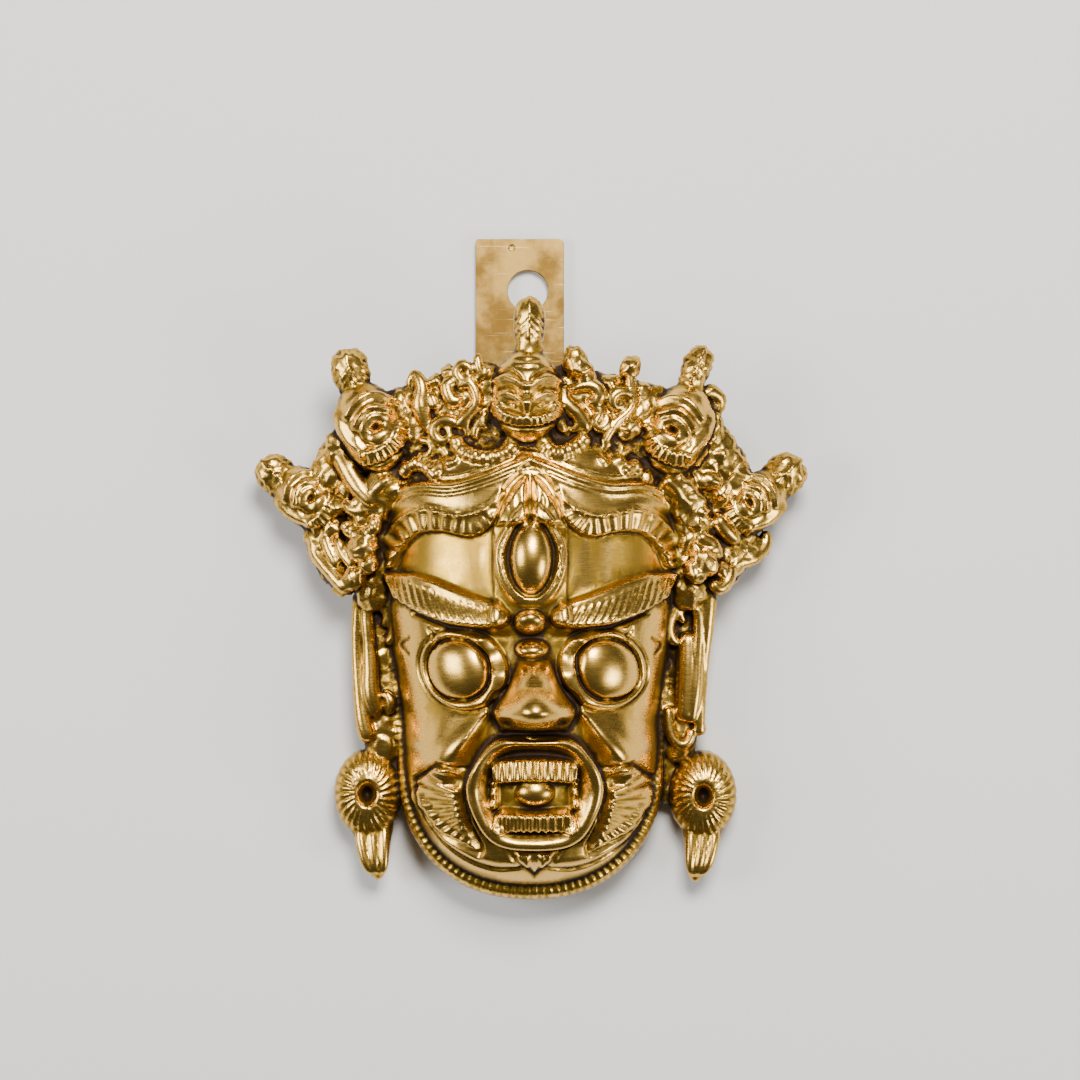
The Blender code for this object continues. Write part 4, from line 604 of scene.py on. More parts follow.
CROWN_LINE = ((41.6, -4.6), (44.6, 4.0), (44.4, 13.5), (40.0, 22.0), (32.8, 28.4), (23.0, 32.0),
    (11.0, 34.2), (0.0, 35.4))
CROWN_HALF_WIDTH = (3.0, 5.6, 7.6, 9.0, 9.6, 9.8, 9.8, 9.8)
CROWN_HALF_DEPTH = 4.6
TEMPLE_FILL = (
    (-34.6, -9.5, 9.0), (-35.6, -1.0, 11.5), (-36.4, 8.0, 13.0),
    (-33.6, 16.0, 15.4), (-28.6, 22.0, 17.6),
)
TEMPLE_FILL_HALF_WIDTH = (3.4, 4.8, 4.8, 4.6, 4.0)

SKIRT_LINE = ((36.6, -2.0), (36.4, 8.0), (33.6, 16.4), (27.6, 21.4), (18.0, 23.2), (8.0, 25.4), (0.0, 26.8))
SKIRT_HALF_WIDTH = (2.2, 3.0, 3.4, 3.4, 3.4, 3.4, 3.4, 3.0, 2.2)
SKIRT_HALF_DEPTH = 4.2

MIDDLE_HEAD = (-0.7, 38.0, 26.8)
MIDDLE_HEAD_HALF = (7.5, 10.3, 7.4)
MIDDLE_KNOT = (-0.2, 54.0, 27.0)
MIDDLE_KNOT_HALF = (3.6, 5.7, 3.8)

# For each side head: its side, place, tilt in degrees and size
SIDE_HEADS = (
    (-1, (-35.2, 31.4, 18.8), 24.0, 1.0),
    (1, (32.6, 30.8, 18.8), 20.0, 1.0),
    (-1, (-50.0, 15.4, 9.8), 47.0, 0.84),
    (1, (50.0, 14.4, 9.8), 48.0, 0.84),
)
# Their topknots: middle, half sizes and tilt in degrees
SIDE_KNOTS = (
    ((-40.0, 43.6, 18.6), (4.3, 5.2, 3.8), 14.0),
    ((36.9, 44.4, 18.6), (3.3, 5.2, 3.6), -22.0),
    ((-56.6, 20.4, 9.6), (4.4, 5.4, 3.6), 47.0),
    ((56.8, 20.6, 9.6), (4.8, 5.2, 3.6), -48.0),
)
SIDE_HEAD_HALF = (7.2, 10.4, 7.0)


def crown_ground():
    """The rough band that carries the heads, from one temple over the forehead to the other."""
    half = [(x, y, crown_front(x) - CROWN_HALF_DEPTH) for x, y in CROWN_LINE]
    whole = [(-x, y, z) for x, y, z in half] + [half[k] for k in range(len(half) - 2, -1, -1)]
    widths = list(CROWN_HALF_WIDTH) + list(CROWN_HALF_WIDTH[-2::-1])
    return sweep(whole, widths, [CROWN_HALF_DEPTH] * len(widths), rough=0.4, square=0.6)


def temple_fill():
    """Rough metal that closes the corner between the crown, the temple and the ear."""
    bodies = []
    for path in (TEMPLE_FILL, mirrored(TEMPLE_FILL)):
        depths = [4.4] * len(path)
        bodies.append(sweep(path, TEMPLE_FILL_HALF_WIDTH, depths, rough=0.5, root=4.0, square=0.7))
    return bodies


def crown_skirt():
    """Sloping metal between the crown's ground and the band across the forehead."""
    half = [(x, y, crown_front(x) - 5.4) for x, y in SKIRT_LINE]
    whole = mirrored(half) + list(reversed(half[:-1]))
    depths = [SKIRT_HALF_DEPTH] * len(SKIRT_HALF_WIDTH)
    return sweep(whole, SKIRT_HALF_WIDTH, depths, rough=0.3, root=6.0, square=0.7)


def crown_heads():
    bodies = [
        ball(MIDDLE_HEAD, MIDDLE_HEAD_HALF, 0.0, middle_head_relief, full=0.85),
        ball(MIDDLE_KNOT, MIDDLE_KNOT_HALF, 0.0, topknot_relief, full=0.6),
        sweep([MIDDLE_HEAD, MIDDLE_KNOT], [3.6, 3.0]),
    ]
    for hand, place, tilt, size in SIDE_HEADS:

        def relief(a, b, hand=hand, size=size):
            return size * side_head_relief(-hand * a / size, b / size)

        half = [size * value for value in SIDE_HEAD_HALF]
        bodies.append(ball(place, half, -hand * math.radians(tilt), relief, rough=0.12, full=0.85))
    for (place, half, tilt), (_, head, _, _) in zip(SIDE_KNOTS, SIDE_HEADS):
        bodies.append(ball(place, half, math.radians(tilt), topknot_relief, rough=0.25, full=0.6))
        bodies.append(sweep([head, place], [3.0, 2.8]))
    return bodies


# Curls in front of the crown's ground: the path they follow and their half widths along it
CURLS = (
    (((-22.3, 29.8), (-23.6, 33.4), (-24.3, 36.5), (-23.9, 39.6), (-24.8, 42.2), (-26.3, 44.0)),
        (0.5, 1.5, 2.2, 1.9, 1.5, 0.7)),
    (((-24.8, 42.7), (-26.3, 42.4), (-26.7, 40.7), (-25.9, 39.8)), (1.0, 0.9, 0.8, 0.5)),
    (((-22.1, 38.9), (-20.6, 35.1)), (1.2, 1.3)),
    (((-14.8, 37.6), (-17.0, 36.9), (-18.1, 38.9), (-18.3, 40.7), (-16.4, 41.3)), (1.0, 1.5, 1.6, 1.5, 1.1)),
    (((-12.4, 41.8), (-14.8, 41.5), (-16.1, 43.3), (-15.2, 45.1), (-13.5, 44.4), (-13.3, 42.9),
        (-14.6, 43.1)), (1.2, 1.2, 1.2, 1.2, 1.1, 0.9, 0.6)),
    (((-16.1, 40.0), (-13.7, 41.1), (-12.2, 39.3), (-11.7, 36.9), (-13.0, 34.7), (-14.8, 32.9),
        (-15.9, 30.7)), (0.9, 1.3, 1.3, 1.2, 1.2, 1.3, 0.9)),
    (((-15.7, 31.4), (-17.5, 32.7), (-19.4, 32.9), (-21.0, 31.6), (-21.2, 29.6), (-19.7, 28.1),
        (-18.1, 29.0), (-18.1, 30.7), (-19.4, 31.4)), (1.0, 1.2, 1.3, 1.4, 1.5, 1.3, 1.0, 0.7, 0.5)),
    (((-9.5, 34.7), (-11.3, 32.5), (-12.2, 30.1), (-11.9, 28.5)), (0.6, 0.8, 0.9, 0.6)),
    (((-10.2, 36.5), (-12.8, 34.3), (-14.1, 31.6), (-13.9, 29.0)), (0.5, 0.7, 0.7, 0.5)),
    (((-9.5, 30.7), (-10.6, 32.0), (-9.7, 33.4)), (0.7, 0.9, 0.6)),
    (((-24.8, 28.3), (-22.5, 28.1), (-21.7, 26.3), (-23.0, 24.8), (-25.0, 25.4)), (0.8, 0.9, 0.9, 0.9, 0.6)),
    (((-11.7, 47.5), (-11.3, 44.4), (-10.2, 41.8)), (0.8, 1.1, 0.8)),
    (((8.0, 40.4), (7.3, 37.8), (8.6, 35.8), (10.4, 34.3), (11.7, 32.3), (12.6, 29.8)),
        (1.0, 1.5, 1.8, 1.8, 1.7, 1.2)),
    (((9.1, 39.3), (10.8, 40.2), (13.3, 40.4), (15.0, 39.3), (15.2, 37.8), (13.9, 36.7), (12.6, 37.6)),
        (0.8, 1.0, 1.3, 1.7, 1.7, 1.3, 0.7)),
    (((13.7, 35.4), (15.5, 35.1), (15.2, 33.6), (14.4, 32.3), (15.2, 30.9), (16.8, 32.0), (17.2, 34.3)),
        (0.9, 1.1, 1.1, 1.1, 1.2, 1.0, 0.6)),
    (((7.1, 36.0), (6.6, 32.9), (7.5, 29.8)), (0.8, 1.3, 0.9)),
    (((8.6, 34.7), (10.4, 32.9), (9.9, 30.9), (8.4, 30.7)), (0.6, 0.9, 0.9, 0.6)),
    (((22.1, 43.1), (22.5, 39.6), (22.8, 36.9), (21.4, 34.5), (19.0, 32.5), (17.5, 29.8), (15.9, 27.4)),
        (1.3, 1.1, 1.0, 1.0, 1.0, 1.0, 0.9)),
    (((22.5, 37.6), (21.0, 38.9), (19.2, 38.9), (18.1, 37.6), (18.6, 35.8), (20.1, 36.0), (20.3, 37.3)),
        (0.9, 1.3, 1.4, 1.4, 1.2, 0.9, 0.6)),
    (((15.7, 26.5), (17.9, 27.8)), (0.8, 0.9)),
    (((37.8, 38.7), (40.2, 39.3), (42.2, 37.8), (42.0, 35.8), (40.4, 35.1)), (1.3, 1.7, 1.7, 1.3, 0.8)),
    (((38.2, 34.0), (40.7, 34.0), (41.5, 31.6), (40.4, 29.2), (38.9, 30.1)), (1.2, 1.6, 1.7, 1.5, 0.8)),
    (((38.5, 30.7), (37.6, 26.3), (35.8, 23.0)), (1.3, 2.0, 1.5)),
    (((36.9, 15.5), (34.9, 14.8), (33.8, 16.6), (34.9, 18.1), (36.7, 17.5)), (0.8, 1.1, 1.2, 1.2, 0.9)),
    (((41.5, 11.9), (43.3, 8.8), (46.6, 5.7)), (1.6, 2.0, 1.6)),
    (((45.1, 12.8), (47.1, 9.7), (49.5, 7.3)), (1.3, 1.6, 1.2)),
    (((37.1, 7.3), (40.2, 5.7), (42.4, 2.7)), (1.1, 1.7, 1.4)),
    (((53.0, 8.4), (52.8, 5.1), (50.2, 2.2), (46.6, 1.1)), (1.2, 1.6, 1.5, 1.1)),
    (((44.9, 0.7), (44.4, -2.4), (42.2, -4.6), (40.4, -2.9)), (1.2, 1.5, 1.5, 1.0)),
    (((-43.3, 26.7), (-40.7, 22.3), (-38.0, 17.9), (-34.5, 14.1)), (2.2, 2.6, 2.4, 1.6)),
    (((-42.0, 14.8), (-39.3, 13.0), (-35.8, 13.0)), (1.2, 1.6, 1.1)),
    (((-46.2, 7.7), (-44.9, 4.2), (-42.9, 0.2)), (1.3, 1.6, 1.2)),
    (((-43.3, 6.9), (-41.8, 3.3), (-39.3, 0.2)), (1.0, 1.3, 1.0)),
    (((-49.1, 8.6), (-48.0, 3.3), (-44.4, -1.1), (-40.7, -5.1)), (1.2, 1.6, 1.7, 1.6)),
    (((-31.6, 20.1), (-34.0, 17.7), (-36.2, 15.2)), (1.6, 1.8, 1.2)),
    (((29.6, 20.1), (32.3, 17.9), (34.0, 14.8)), (1.4, 1.6, 1.1)),
)

# Ribbed swags: points on the crown and half width
SWAGS = (
    (((-16.4, 29.6), (-15.9, 27.0), (-13.7, 25.2), (-10.2, 24.3), (-6.6, 24.8), (-4.4, 26.5),
        (-4.4, 29.0)), 1.9),
    (((2.4, 30.3), (3.3, 27.0), (5.7, 25.2), (8.4, 25.9), (10.8, 27.4), (12.6, 29.8)), 2.0),
    (((-28.5, 20.3), (-26.5, 22.8), (-23.2, 22.8), (-20.1, 19.9)), 1.8),
    (((-41.8, 10.4), (-39.8, 8.0), (-37.1, 7.5), (-34.7, 9.1), (-34.3, 11.5)), 1.6),
    (((20.3, 20.6), (23.0, 23.0), (24.3, 21.0)), 1.4),
)

# Lumps that break up the crown's ground: place, radius and how far they rise
LUMPS = (
    (10.4, 44.6, 2.8, 0.9), (9.9, 46.9, 2.2, 0.4), (11.7, 42.7, 2.2, 0.6), (22.1, 44.6, 2.2, 1.0),
    (-26.1, 37.8, 1.8, 0.2), (-20.6, 41.3, 1.8, -0.2), (-17.5, 43.1, 2.0, -0.2), (-9.7, 43.1, 2.4, -0.4),
    (-9.5, 40.4, 1.6, -0.2), (-17.7, 35.1, 1.8, -0.4), (-18.6, 25.9, 2.0, 0.0), (-16.4, 23.2, 2.2, 0.0),
    (-19.9, 22.3, 2.0, -0.2), (-13.3, 22.3, 1.8, -0.4), (-7.5, 22.8, 1.8, -0.4), (-1.1, 23.2, 2.4, 0.0),
    (2.9, 22.3, 1.6, -0.2), (17.9, 40.9, 1.8, -0.2), (16.6, 38.7, 1.6, -0.4), (21.7, 30.9, 2.6, 0.6),
    (24.5, 39.1, 2.0, -0.2), (25.0, 35.1, 2.0, -0.2), (15.5, 23.2, 2.0, -0.2), (19.0, 23.2, 2.0, 0.0),
    (21.7, 21.9, 1.6, 0.2), (12.4, 23.2, 1.6, -0.4), (25.4, 19.7, 1.8, 0.2), (-28.7, 37.3, 2.2, -0.4),
    (-27.8, 34.7, 2.0, -0.2), (-42.9, 25.9, 2.8, 1.0), (-43.5, 21.0, 2.4, 0.2), (-40.9, 17.9, 2.4, 0.2),
    (-38.5, 14.4, 2.0, 0.4), (-42.9, 13.7, 2.2, 0.4), (-45.5, 11.5, 2.4, 0.6), (-44.2, 8.6, 2.0, 0.4),
    (-37.3, 4.6, 3.2, 1.0), (-40.4, 4.2, 2.0, 0.4), (-36.2, 0.9, 2.2, 0.2), (-39.3, -2.2, 2.6, 0.4),
    (42.2, 25.2, 2.6, 0.8), (43.1, 21.9, 2.2, 0.8), (40.4, 23.2, 1.8, 0.4), (40.0, 19.7, 2.2, 0.4),
    (45.5, 19.7, 2.0, 0.2), (42.4, 16.6, 1.8, -0.4), (38.0, 19.7, 1.8, 0.0), (37.6, 12.6, 1.6, -0.4),
    (36.9, 9.9, 2.0, 0.2), (38.9, 1.5, 3.0, 1.0), (40.2, 3.8, 2.2, 0.8), (36.7, -0.7, 2.4, 0.4),
    (37.3, 4.2, 2.0, 0.2), (48.2, 3.3, 2.2, 0.6), (50.4, 4.9, 1.8, 0.2), (42.4, -0.2, 2.0, 0.4),
    (40.1, 36.8, 2.4, -1.0),
)
SCATTERED_LUMPS = 46


def scattered_lumps(count):
    """Small rough lumps spread along the crown's ground by the golden ratio."""
    half = smooth_path(CROWN_LINE, 8)
    for k in range(count):
        place = half[int(len(half) * ((k * 0.618) % 1.0))]
        reach = 7.5 * math.sin(2.4 * k) * (0.6 + 0.4 * min(1.0, abs(place[1]) / 20))
        inward = Vector((-place[0], -place[1])).normalized()
        x, y = place[0] + inward[0] * reach, place[1] + inward[1] * reach
        yield x if k % 2 else -x, y, 1.1 + 0.5 * math.sin(1.7 * k), -0.2


def crown_ornaments():
    bodies = []
    for path, widths in CURLS:
        bodies.append(sweep(on_crown(path, 0.4), widths, root=2.5))
    for points, half_width in SWAGS:
        widths = [half_width, half_width]
        bodies.append(sweep(on_crown(points, 0.4), widths, pitch=1.75, cut=0.34, root=2.0))
    for x, y, radius, lift in [*LUMPS, *scattered_lumps(SCATTERED_LUMPS)]:
        place = (x, y, ground_height(x, y) - 1.2 + lift)
        bodies.append(ball(place, (radius, radius * 1.25, radius * 1.1), 0.1 * x, rough=0.35))
    return bodies


# Ears, earrings and the corded edge

# Tubes of each ear: path, half widths
LEFT_EAR = (
    (((-38.2, -4.0, 10.5), (-35.6, -2.9, 11.5), (-33.1, -4.5, 12), (-31.3, -7.9, 12), (-30.6, -11.5, 11.5),
        (-30.8, -15.1, 11), (-32.4, -17.1, 10.5)), (1.6, 1.5, 1.5, 1.4, 1.3, 1.2, 0.9)),
    (((-38.2, -5.2, 10), (-38.9, -10.8, 9.5), (-39.1, -18.7, 9), (-38.5, -27.7, 9), (-37.6, -34.4, 9),
        (-36.2, -39.1, 8.5)), (1.6, 1.3, 1.2, 1.3, 1.7, 2.2)),
    (((-32.9, -13.3, 10.5), (-32.2, -10.6, 11), (-33.5, -8.1, 11), (-35.3, -7.4, 11), (-36.7, -9.2, 10.5),
        (-36.5, -14.2, 10.5), (-36.0, -20.9, 10), (-35.8, -27.7, 10), (-34.6, -33.5, 9.5)),
     (0.8, 1.2, 1.4, 1.5, 1.4, 1.8, 1.9, 2.0, 1.5)),
    (((-32.9, -27.7, 10), (-31.5, -29.9, 10), (-31.9, -33.1, 9.5)), (0.9, 1.3, 0.9)),
)
RIGHT_EAR = (
    (((32.9, -8.3, 11), (33.8, -5.6, 11.5), (36.2, -3.6, 12), (39.1, -3.1, 11.5), (40.1, -5.6, 10.5),
        (39.8, -10.1, 10), (39.4, -16.4, 9.5), (38.7, -25.4, 9), (38.2, -32.2, 9), (38.0, -37.8, 8.5)),
     (1.2, 1.4, 1.6, 1.9, 1.7, 1.3, 1.1, 1.1, 1.2, 1.6)),
    (((32.9, -8.3, 11), (31.7, -10.1, 11.5), (30.8, -13.1, 11.5), (31.7, -15.8, 11), (33.5, -17.1, 10.5)),
        (1.3, 1.6, 1.6, 1.4, 0.9)),
    (((34.6, -12.4, 10.5), (33.5, -10.3, 11), (34.2, -8.3, 11), (36.0, -7.7, 11), (37.4, -9.2, 11),
        (37.8, -13.1, 10.5), (37.4, -20.9, 10), (36.9, -27.7, 10), (36.0, -34.9, 9.5)),
     (0.8, 1.1, 1.2, 1.3, 1.4, 1.5, 1.6, 1.6, 1.3)),
    (((35.3, -14.2, 9), (35.3, -20.9, 9), (35.1, -27.7, 9), (34.6, -34.9, 9)), (2.0, 2.5, 2.5, 2.3)),
    (((31.1, -31.1, 9.5), (31.1, -34.9, 9.5), (32.2, -38.5, 9.5), (34.4, -39.8, 9.5), (36.0, -38.2, 9.5),
        (36.0, -36.0, 9.5)), (1.0, 1.2, 1.3, 1.3, 1.1, 0.8)),
)
EAR_PLATE = ((-34.2, -2.9, 6), (-34.4, -9.7, 6), (-34.2, -20.9, 6), (-33.5, -32.2, 6), (-33.1, -44.2, 6))
EAR_PLATE_HALF_WIDTH = (3.4, 4.6, 4.6, 4.4, 4.0)
LOBE_WEB = ((-31.2, -36.0, 4.6), (-30.4, -45.0, 4.4), (-30.6, -53.5, 4.2))

EARRING = (-36.7, -50.8, 5.0)
EARRING_HALF = (7.7, 9.9)
EARRING_DOME = 5.2
EARRING_BASE_DEPTH = 4.0
FLUTES = 26
LEFT_PENDANT = ((-35.8, -54.0, 4.4), (-35.5, -61.0, 6.2), (-34.8, -66.0, 6.5), (-34.2, -70.4, 6.0))
RIGHT_PENDANT = ((38.9, -54.0, 4.4), (38.6, -61.0, 6.2), (37.7, -66.2, 6.5), (36.9, -70.9, 6.0))
PENDANT_HALF_WIDTH = (5.2, 4.6, 3.2, 1.0)


def mirrored(points):
    return [(-x, y, z) for x, y, z in points]


def earring(centre):
    """A fluted rosette, domed, with a funnel-like pit at its middle."""
    rows = max(8, int(EARRING_HALF[0] * 1.4 / STEP))
    around = max(FLUTES * 3, int(2 * math.pi * EARRING_HALF[1] / STEP))
    turn = np.linspace(0, 2 * math.pi, around, endpoint=False)
    rings = []
    for reach in np.linspace(1.0, 0.02, rows):
        height = EARRING_DOME * (1 - reach**3.0) ** 0.5 * (1 - 0.8 * float(bump(reach / 0.34)))
        cuts = 1 - ribs(turn + 0.25 * (1 - reach), 2 * math.pi / FLUTES, 0.6)
        depth = 1.1 * float(ease((reach - 0.08) / 0.15)) * (0.4 + 0.6 * float(ease((1.08 - reach) / 0.3)))
        edge = 1 - 0.03 * cuts
        ring = [
            centre[0] + EARRING_HALF[0] * reach * edge * np.cos(turn),
            centre[1] + EARRING_HALF[1] * reach * edge * np.sin(turn),
            centre[2] + 1.2 + height - depth * cuts,
        ]
        rings.append(np.stack(ring, axis=1))
    back = rings[0].copy()
    back[:, 2] = centre[2] - EARRING_BASE_DEPTH
    return skin([back] + rings)


def ears():
    bodies = [earring(EARRING), earring((2.2 - EARRING[0], EARRING[1] - 0.4, EARRING[2]))]
    for path, widths in LEFT_EAR + RIGHT_EAR:
        bodies.append(sweep(path, widths, root=3.0))
    for plate in (EAR_PLATE, mirrored(EAR_PLATE)):
        bodies.append(sweep(plate, EAR_PLATE_HALF_WIDTH, [3.2] * 5, rough=0.25))
    for web in (LOBE_WEB, mirrored(LOBE_WEB)):
        bodies.append(sweep(web, [2.6, 3.0, 2.6], [2.6] * 3, rough=0.3))
    for path in (LEFT_PENDANT, RIGHT_PENDANT):
        bodies.append(sweep(path, PENDANT_HALF_WIDTH, (3.0, 2.8, 2.4, 1.6)))
        for shift in (-0.55, 0.0, 0.55):
            vein = [(x + shift * w, y - 1.5, z + 2.2) for (x, y, z), w in zip(path, PENDANT_HALF_WIDTH)]
            end = (path[3][0], path[3][1] + 1.5, path[3][2] + 0.8)
            bodies.append(sweep(vein[:3] + [end], (1.0, 1.3, 1.1, 0.6)))
    return bodies


EDGE_INSET = 1.3
EDGE_HALF_WIDTH = (1.4, 2.3, 2.7, 2.8, 3.0, 2.8, 2.7, 2.3, 1.4)
EDGE_HALF_DEPTH = (3.0, 3.6, 4.4, 5.4, 5.8, 5.4, 4.4, 3.6, 3.0)
EDGE_PITCH = 1.6


def corded_edge():
    """The ribbed cord along the jaw's outline, from one ear round the chin to the other."""
    points = []
    for angle in np.linspace(0.0, math.pi, 19):
        share = math.copysign(abs(math.cos(angle)) ** (2 / ROUNDNESS), -math.cos(angle))
        x = share * (JAW_HALF_WIDTH - EDGE_INSET)
        y = JAW_Y - (JAW_Y - CHIN_Y - EDGE_INSET) * math.sin(angle) ** (2 / ROUNDNESS)
        points.append((x, y, 6.4 + 1.8 * math.sin(angle)))
    upper = [(-30.4, -20.0, 6.5), (-29.6, -31.0, 6.0)]
    path = upper + points + mirrored(reversed(upper))
    return sweep(path, EDGE_HALF_WIDTH, EDGE_HALF_DEPTH, pitch=EDGE_PITCH, cut=0.14, square=0.8)


# Meshes


def linked(name, data):
    """A new object in the scene."""
    made = bpy.data.objects.new(name, data)
    bpy.context.scene.collection.objects.link(made)
    return made


def from_bmesh(name, work):
    """A new object from a bmesh, which is then freed."""
    mesh = bpy.data.meshes.new(name)
    work.to_mesh(mesh)
    work.free()
    return linked(name, mesh)


def add_object(name, points, faces):
    """An object from points in metres and faces of three or four corners."""
    mesh = bpy.data.meshes.new(name)
    corners = [tuple(dict.fromkeys(face)) for face in np.asarray(faces).tolist()]
    mesh.from_pydata(np.asarray(points).tolist(), [], corners)
    mesh.update()
    return linked(name, mesh)


def box_mesh(name, low, high):
    """A plain box between two corners in metres, for a Boolean to cut away."""
    corners = [(x, y, z) for z in (low[2], high[2]) for y in (low[1], high[1]) for x in (low[0], high[0])]
    faces = [(0, 2, 3, 1), (4, 5, 7, 6), (0, 1, 5, 4), (2, 6, 7, 3), (0, 4, 6, 2), (1, 3, 7, 5)]
    return add_object(name, corners, faces)


def cut_away(target, cutter):
    """Cuts one object out of another and removes the cutter."""
    cut = target.modifiers.new("cut", "BOOLEAN")
    cut.operation = "DIFFERENCE"
    cut.solver = "EXACT"
    cut.object = cutter
    bake_modifiers(target)
    bpy.data.objects.remove(cutter, do_unlink=True)


def bake_modifiers(target):
    """Turns the object's modifiers into its mesh."""
    graph = bpy.context.evaluated_depsgraph_get()
    mesh = bpy.data.meshes.new_from_object(target.evaluated_get(graph))
    target.modifiers.clear()
    old, target.data = target.data, mesh
    bpy.data.meshes.remove(old)
    mesh.name = target.name


def fused(bodies):
    """Many overlapping closed bodies as one list of points in metres and one of faces."""
    points, faces, start = [], [], 0
    for body_points, body_faces in bodies:
        points.append(body_points)
        faces.append(body_faces + start)
        start += len(body_points)
    return np.vstack(points) * UNIT, np.vstack(faces)


def vertex_rows(mesh, name):
    """The mesh's points, called co, or its normals as rows of an array."""
    values = np.empty(len(mesh.vertices) * 3, np.float32)
    mesh.vertices.foreach_get(name, values)
    return values.reshape(-1, 3).astype(float)


def keep_largest_body(target):
    """Drops the small closed pockets that fusing can leave inside the metal."""
    mesh = target.data
    ends = np.empty(len(mesh.edges) * 2, np.int32)
    mesh.edges.foreach_get("vertices", ends)
    ends = ends.reshape(-1, 2)
    label = np.arange(len(mesh.vertices))
    while True:
        lowest = np.minimum(label[ends[:, 0]], label[ends[:, 1]])
        before = label.copy()
        np.minimum.at(label, ends[:, 0], lowest)
        np.minimum.at(label, ends[:, 1], lowest)
        label = label[label]
        if (label == before).all():
            break
    values, counts = np.unique(label, return_counts=True)
    work = bmesh.new()
    work.from_mesh(mesh)
    work.verts.ensure_lookup_table()
    loose = np.flatnonzero(label != values[counts.argmax()])
    bmesh.ops.delete(work, geom=[work.verts[k] for k in loose], context="VERTS")
    work.to_mesh(mesh)
    work.free()


def shade_smooth(target):
    target.data.polygons.foreach_set("use_smooth", [True] * len(target.data.polygons))


# How deep each spot lies in the carving


MAP_CELL = 0.00028
MAP_MARGIN = 0.004


def bell_curve(width, reach):
    """A bell of this width in metres over the map's cells, cut off at some widths' reach."""
    cells = int(reach * width / MAP_CELL) + 1
    return np.exp(-0.5 * (np.arange(-cells, cells + 1) * MAP_CELL / width) ** 2)


def blurred(grid, bell):
    for axis in (0, 1):
        grid = np.apply_along_axis(np.convolve, axis, grid, bell, mode="same")
    return grid


class HeightMap:
    """The highest metal over a fine grid, and the same smoothed over a few widths."""

    def __init__(self, points):
        self.low = points[:, :2].min(axis=0) - MAP_MARGIN
        span = points[:, :2].max(axis=0) + MAP_MARGIN - self.low
        shape = tuple((span / MAP_CELL).astype(int) + 1)
        self.top = np.zeros(shape)
        column, row = self.cells(points)
        np.maximum.at(self.top, (column.astype(int), row.astype(int)), points[:, 2])
        self.known = (self.top > 0).astype(float)
        self.top = self.smoothed(MAP_CELL * 0.45)

    def cells(self, points):
        place = (points[:, :2] - self.low) / MAP_CELL
        return place[:, 0], place[:, 1]

    def smoothed(self, width):
        """Heights averaged over a bell of this width in metres, over metal only."""
        bell = bell_curve(width, 3)
        return blurred(self.top * self.known, bell) / np.maximum(blurred(self.known, bell), 1e-6)

    def surrounded(self, width):
        """1 where there is metal all round within this width, about 0.5 on the outline."""
        bell = bell_curve(width, 2)
        return blurred(self.known, bell / bell.sum())

    def read(self, grid, points):
        """The grid's value above each point, between its cells."""
        column, row = self.cells(points)
        column, row = column - 0.5, row - 0.5
        i, j = column.astype(int), row.astype(int)
        u, v = column - i, row - j
        low = grid[i, j] * (1 - v) + grid[i, j + 1] * v
        high = grid[i + 1, j] * (1 - v) + grid[i + 1, j + 1] * v
        return low * (1 - u) + high * u


# Widths over which a hollow is judged, and the depth that fills each with patina, in metres
HOLLOW_SCALES = ((0.0005, 0.0006, 0.60), (0.0014, 0.0018, 0.50), (0.0045, 0.0060, 0.35))
# Width of the clean band along the mask's outline, in metres
OUTLINE_WIDTH = 0.0012
# Metal is raw where it lies this far behind the front and doesn't face forwards
RAW_BEHIND = 0.0026
RAW_FADE = 0.001
RAW_TILT = 0.55
RAW_TILT_FADE = 0.35


def mark_patina(mask, heights):
    """Stores how recessed each point is, 0.5 on open metal, and which are raw metal at the back."""
    points = vertex_rows(mask.data, "co")
    normals = vertex_rows(mask.data, "normal")
    recess = np.zeros(len(points))
    for width, depth, gain in HOLLOW_SCALES:
        below = heights.read(heights.smoothed(width), points) - points[:, 2]
        recess += gain * np.clip(below / depth, -1.0, 1.0)
    recess *= ease((heights.read(heights.surrounded(OUTLINE_WIDTH), points) - 0.5) / 0.35)
    behind = heights.read(heights.top, points) - points[:, 2]
    raw = ease((behind - RAW_BEHIND) / RAW_FADE) * ease((RAW_TILT - normals[:, 2]) / RAW_TILT_FADE)
    store(mask, "recess", np.clip(0.5 + 0.5 * recess, 0.0, 1.0))
    store(mask, "raw", raw)
    store(mask, "rough", crusty(points) * (1 - on_heads(points)))


def store(target, name, values):
    layer = target.data.attributes.new(name, "FLOAT", "POINT")
    layer.data.foreach_set("value", np.ascontiguousarray(values, np.float32))


# The mask


CROWN_FIELD = (
    (0.0, 24.6), (10.0, 21.0), (17.0, 19.2), (24.2, 19.4), (30.2, 17.0), (34.0, 11.0), (34.0, -6.0),
    (64.0, -8.0), (64.0, 60.0), (0.0, 60.0),
)
EAR_INNER_X = 29.5
EAR_LOW_Y = -44.0
EAR_FADE = 3.0
EAR_CRUST = 0.4

# Rough casting: how deep in metres, the lumps' sizes in carving units and how much is left on the
# high metal, which turns to hollows between two depths in metres
CRUST_DEPTH = 0.00020
FINE_LUMP = 0.95
COARSE_LUMP = 2.1
COARSE_SHARE = 0.6
HIGH_SHARE = 0.12
HOLLOW_START = 0.0001
HOLLOW_FADE = 0.0006
# The heads are smooth out to this share of their half sizes
SMOOTH_REACH = 1.15
SMOOTH_FADE = 0.3


